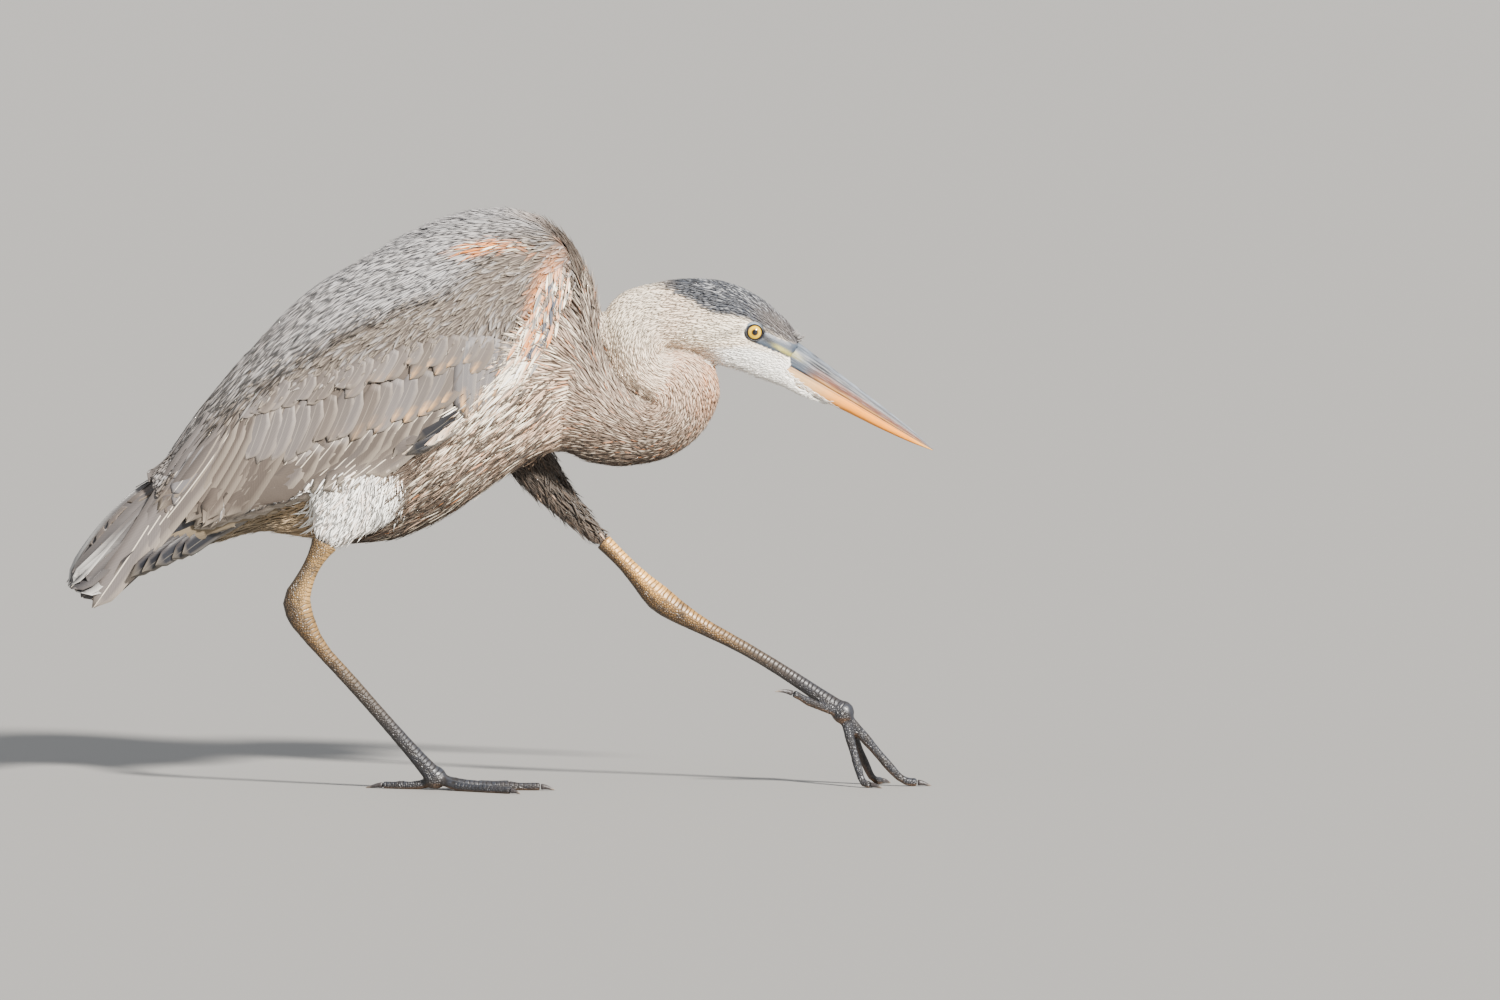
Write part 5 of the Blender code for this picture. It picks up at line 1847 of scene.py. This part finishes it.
def eyes():
    """The eyeballs, each with its marks (angle from the pupil, and that angle's parts ahead and above)."""
    material = eye_finish()
    rings, spokes = 40, 56
    cornea, sunk = 0.45, 0.15  # how far the clear front stands out, and how far the rest is sunk
    for name, side in SIDES.items():
        centre, gaze = gaze_of(name, side)
        ahead = unit(np.cross(gaze, (0, 0, 1.0)))
        above = np.cross(ahead, gaze)
        points, marks = [centre + gaze * (EYE_RADIUS + cornea)], [(0.0, 0.0, 0.0)]
        for r in range(1, rings):
            polar = math.pi * (r / rings) ** 1.15
            swell = cornea * float(1 - ease(0.0, 0.62, polar))
            for k in range(spokes):
                turn = 2 * math.pi * k / spokes
                c, s = math.cos(turn), math.sin(turn)
                way = gaze * math.cos(polar) + (ahead * c + above * s) * math.sin(polar)
                points.append(centre + way * (EYE_RADIUS - sunk + swell))
                marks.append((min(polar, 1.0), c * min(polar, 1), s * min(polar, 1)))
        points.append(centre - gaze * (EYE_RADIUS - sunk))
        marks.append((1.0, 0.0, 0.0))
        quads = 1 + ring_faces(rings - 1, spokes)[:, [0, 3, 2, 1]]
        last = len(points) - 1
        tris = [(0, 1 + k, 1 + (k + 1) % spokes) for k in range(spokes)]
        tris += [(last, last - spokes + (k + 1) % spokes, last - spokes + k) for k in range(spokes)]
        faces = [quads, np.array(tris)]
        piece = turned_outwards(mesh_of(f"eyeball_{name}", points, faces, [material], gaze=marks))
        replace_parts(piece, f"eye_{name}")
        settled(piece)


BILL = (
    # x, z of the gape, rise of the upper half, depth of the lower half, half width
    (217.5, 349.0, 20.0, 14.5, 10.6),
    (241.5, 335.2, 16.9, 13.0, 9.6),
    (281.5, 312.0, 11.5, 9.6, 6.6),
    (313.5, 292.8, 7.2, 6.6, 4.2),
    (333.5, 280.8, 3.9, 3.7, 2.3),
    (347.5, 272.4, 0.7, 0.7, 0.6),
)
BILL_SLOPE = math.radians(31.2)


def curve(knots, values, at):
    """A smooth curve through the knots."""
    knots, values, at = np.asarray(knots, float), np.asarray(values, float), np.asarray(at, float)
    slopes = np.gradient(values, knots)
    k = np.clip(np.searchsorted(knots, at) - 1, 0, len(knots) - 2)
    wide = knots[k + 1] - knots[k]
    t = (at - knots[k]) / wide
    return (
        values[k] * (1 + 2 * t) * (1 - t) ** 2
        + values[k + 1] * t * t * (3 - 2 * t)
        + wide * (slopes[k] * t * (1 - t) ** 2 - slopes[k + 1] * t * t * (1 - t))
    )


def horn_finish(name, roughness, streak, dark):
    """Horn with long streaks and fine wear, on a colour that the marks give."""
    material, finish = shader(name, roughness, Coat_Weight=0.05, Coat_Roughness=0.3, Specular_IOR_Level=0.3)
    tree = material.node_tree
    grain = named(tree, "grain")
    long = noise(grain, (11.0, 26.0, 1.0), 5.0, 0.62)
    chips = noise(grain, (60.0, 60.0, 1.0), 4.0, 0.7)
    # pale streaks: partly the horn's own streaking, partly painted highlight
    pale = times(slope(minus(long, 0.54), 10.0), streak)
    shade = times(slope(minus(0.46, long), 12.0), dark)
    speck = times(slope(minus(chips, 0.6), 5.0), 0.3)
    base = mix_of(pale, named(tree, "tint", "Color"), tone(136, 138, 142))
    base = mix_of(shade, base, tone(30, 26, 25))
    feed(
        finish,
        Base_Color=mix_of(speck, base, tone(170, 170, 168)),
        Roughness=plus(times(chips, 0.3), roughness - 0.15),
        Normal=bumps(plus(long, times(chips, 0.3)), 0.35),
    )
    return material


def bill_half(name, node, upward, material, paint):
    """One half of the bill. The upper one has a long groove on each side, with a nostril slit in it."""
    knots = [row[0] for row in BILL]
    steps, around = 90, 41
    xs = knots[0] + (knots[-1] - knots[0]) * (1 - (1 - np.linspace(0, 1, steps)) ** 1.15)
    z, rise, depth, half = (curve(knots, [row[k] for row in BILL], xs) for k in (1, 2, 3, 4))
    up = np.array((math.sin(BILL_SLOPE), 0, math.cos(BILL_SLOPE))) * (1 if upward else -1)
    tall = np.maximum((rise if upward else depth) - 0.15, 0.3)
    angle = np.linspace(0, math.pi, around)
    c, s = np.cos(angle), np.clip(np.sin(angle), 0, 1)
    share = (xs - knots[0]) / (knots[-1] - knots[0])
    out = np.sign(c) * np.abs(c) ** 0.85
    ridge = 0.05 * bell(c, 0.22)
    groove = np.zeros((steps, around))
    if upward:
        low = 0.62 + 0.1 * share[:, None]
        reach = ease(0.10, 0.17, share) * (1 - ease(0.45, 0.62, share))
        groove = 0.75 * bell(s - low, 0.09) * reach[:, None]
        groove += 1.1 * (bell(s - low, 0.05) * bell(share[:, None] - 0.27, 0.055, 4))
    base = np.stack([xs, np.zeros(steps), z], 1)[:, None] + up * 0.15
    across = out[None] * half[:, None]
    height = tall[:, None] * (s**0.9)[None] * (1 + ridge[None] * (1 if upward else 0.4))
    size = np.hypot(across, height) + 1e-6
    scale = 1 - np.minimum(groove / size, 0.4)
    points = base + np.array((0, 1, 0)) * (across * scale)[..., None] + up * (height * scale)[..., None]
    points = points.reshape(-1, 3)
    rings = ring_faces(steps, around).reshape(steps - 1, around, 4)
    quads = np.concatenate([rings[:, :-1].reshape(-1, 4), rings[:, -1]])
    ends = np.array([base[0, 0] + up * tall[0] * 0.4, base[-1, 0] + up * 0.1 + np.array((0.4, 0, -0.2))])
    first, last = len(points), len(points) + 1
    tris = [(first, (k + 1) % around, k) for k in range(around)]
    start = (steps - 1) * around
    tris += [(last, start + k, start + (k + 1) % around) for k in range(around)]
    shares = np.concatenate([np.repeat(share, around), [0, 1]])
    heights = np.concatenate([np.tile(s, steps), [0.5, 0.5]])
    sideways = np.concatenate([np.tile(c, steps), [0, 0]])
    deep = np.concatenate([(groove / 1.85).ravel(), [0, 0]])
    piece = mesh_of(
        name,
        np.concatenate([points, ends]),
        [quads, np.array(tris)],
        [material],
        tint=paint(shares, heights, deep),
        grain=np.stack([shares, heights * np.where(sideways > 0, 1, -1), np.zeros(len(shares))], 1),
    )
    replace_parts(turned_outwards(piece), node)
    return settled(piece)


def upper_marks(share, height, deep):
    """The upper half: slate with a painted highlight along the ridge, brown along the mouth, and painted
    shade in its groove and nostril.
    """
    yellow = (1 - ease(0.1, 0.2, share)) * (1 - ease(0.1, 0.2, np.abs(height - 0.5)))
    brown = (1 - ease(0.42, 0.62, height)) * ease(0.18, 0.34, share) * (1 - ease(0.9, 1, share))
    return layered(
        LORE,
        (tone(40, 42, 48), ease(0.16, 0.28, share) * 0.8),
        (tone(66, 64, 66), ease(0.45, 1.0, share) * 0.8),
        # painted highlight along the ridge
        (tone(128, 134, 142), ease(0.8, 0.97, height) * (0.3 + 0.4 * ease(0.1, 0.5, share))),
        (tone(170, 160, 70), yellow * 0.45),
        (tone(84, 40, 14), brown),
        (tone(170, 122, 66), (1 - ease(0.08, 0.2, height)) * ease(0.2, 0.34, share) * 0.85),
        # painted shade in the groove and the nostril slit, darker where they are deeper
        (tone(12, 12, 15), np.clip(deep * 1.5 - 0.1, 0, 1)),
    )


def lower_marks(share, height, _):
    """The lower half: buff at the chin, then orange, darker along the mouth and underneath."""
    return layered(
        tone(206, 166, 116),
        (tone(246, 152, 30), ease(0.2, 0.55, share)),
        (tone(236, 186, 104), ease(0.85, 1.0, share) * 0.7),
        (tone(70, 36, 14), (1 - ease(0.03, 0.16, height)) * 0.7),
        (tone(150, 88, 30), ease(0.75, 1.0, height) * 0.5),
    )


LIE["chin"] = ((220, 335, 322), (245, 322, 326), (270, 306, 329))


def chin_feathers(bill):
    """Short white feathers that run out along the lower edge of the bill."""
    horn = Surface(*arrays(bill.data))
    middles = horn.points[horn.faces].mean(1)
    line = ((216, 352), (226, 341), (235, 332.5), (243, 325.5), (258, 316), (272, 306), (276, 300))
    edge = level(line, middles[:, 0])
    rim = faces_of("head") & (face_x > 213) & (face_z < level(BARE_LORE, face_x) - 1)
    piece = Feathers("chin_feathers", DOWN, False)
    for surface, chosen in ((horn, (middles[:, 2] < edge) & (middles[:, 0] < 272)), (skin, rim)):
        roots, places, normals, ways = strewn(
            surface, chosen, apart=1.3, region="chin", reach=(3.0, 5.2), steps=4, sway=0.3, rise=0.2,
            ruffle=0.7, base=0.05,
        )
        colours = mixed(CHALK, SAND, chance.random(len(roots)) * 0.3)
        widths = chance.uniform(0.7, 1.15, len(roots))
        piece.put(places, normals, ways, widths, lance, colours, **{**LOOSE, "thick": 0.12}, ragged=0.5)
    piece.finish()


def claws():
    """The claws, rounded, all in one horn finish."""
    names = [f"claw_{toe}_{side}" for side in SIDES for toe in TOES]
    every_point, every_face, grains = [], [], []
    for name in names:
        mesh = merged(name)
        part = bpy.data.meshes.new("claw")
        mesh.to_mesh(part)
        mesh.free()
        points, faces = arrays(reshaped(part, "SUBSURF", levels=1, render_levels=1))
        knuckle = LEG_LINES[name.split("_")[2]][-1]
        far = np.linalg.norm(points - knuckle, axis=1)
        share = (far - far.min()) / (far.max() - far.min())
        every_point.append(points)
        every_face.append(faces)
        grains.append(np.stack([share, points[:, 1] * 0.1, points[:, 2] * 0.1], 1))
    grain = np.concatenate(grains)
    tint = mixed(tone(46, 42, 42), tone(104, 92, 80), ease(0.6, 1.0, grain[:, 0]))
    horn = horn_finish("claw_horn", roughness=0.4, streak=0.15, dark=0.4)
    piece = mesh_of("claws", *stacked(every_point, every_face), [horn], tint=tint, grain=grain)
    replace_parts(piece, *names)
    settled(piece)


whole_skin()
eyes()
upper_horn = horn_finish("upper_horn", roughness=0.5, streak=0.5, dark=0.7)
bill_half("upper_bill", "bill_upper", True, upper_horn, upper_marks)
lower_horn = horn_finish("lower_horn", roughness=0.5, streak=0.15, dark=0.3)
chin_feathers(bill_half("lower_bill", "bill_lower", False, lower_horn, lower_marks))
claws()


def stage_and_camera():
    """A pale floor, a low sun with a little fill, and a camera at the bird's right side."""
    far = 9e4
    corners = np.array(((-far, -far, 0), (far, -far, 0), (far, far, 0), (-far, far, 0)))
    material, finish = shader("pale_floor", 0.7)
    tree = material.node_tree
    grain = add(tree, "ShaderNodeTexNoise", Scale=3.0, Detail=3.0).outputs["Fac"]
    feed(finish, Base_Color=mix_of(grain, (0.205, 0.2, 0.192), (0.22, 0.215, 0.207)))
    floor = mesh_of("floor", corners, np.array(((0, 1, 2, 3),)), [material])
    world = bpy.data.worlds.new("studio")
    world.use_nodes = True
    world.node_tree.nodes["Background"].inputs["Color"].default_value = (0.86, 0.89, 0.93, 1)
    world.node_tree.nodes["Background"].inputs["Strength"].default_value = 0.75
    bpy.context.scene.world = world
    for name, turn, power, spread, colour in (
        ("key", (59, 0, 33), 18.0, 6, (1.0, 0.955, 0.89)),
        ("fill", (62, 0, -60), 0.6, 40, (0.92, 0.95, 1.0)),
    ):
        lamp = bpy.data.lights.new(name, "SUN")
        lamp.energy, lamp.color, lamp.angle = power, colour, math.radians(spread)
        placed(name, lamp).rotation_euler = [math.radians(t) for t in turn]
    camera = bpy.data.cameras.new("camera")
    camera.sensor_width, camera.clip_end = 36.0, 400.0
    distance, width, rise = 11.0, 1.2, math.radians(3.0)
    camera.lens = camera.sensor_width * distance / width
    holder = placed("camera", camera)
    aim = Vector((0.2015, 0, 0.232))
    holder.location = aim + Vector((0, -math.cos(rise), math.sin(rise))) * distance
    holder.rotation_euler = (math.pi / 2 - rise, 0, 0)
    bpy.context.scene.camera = holder


stage_and_camera()
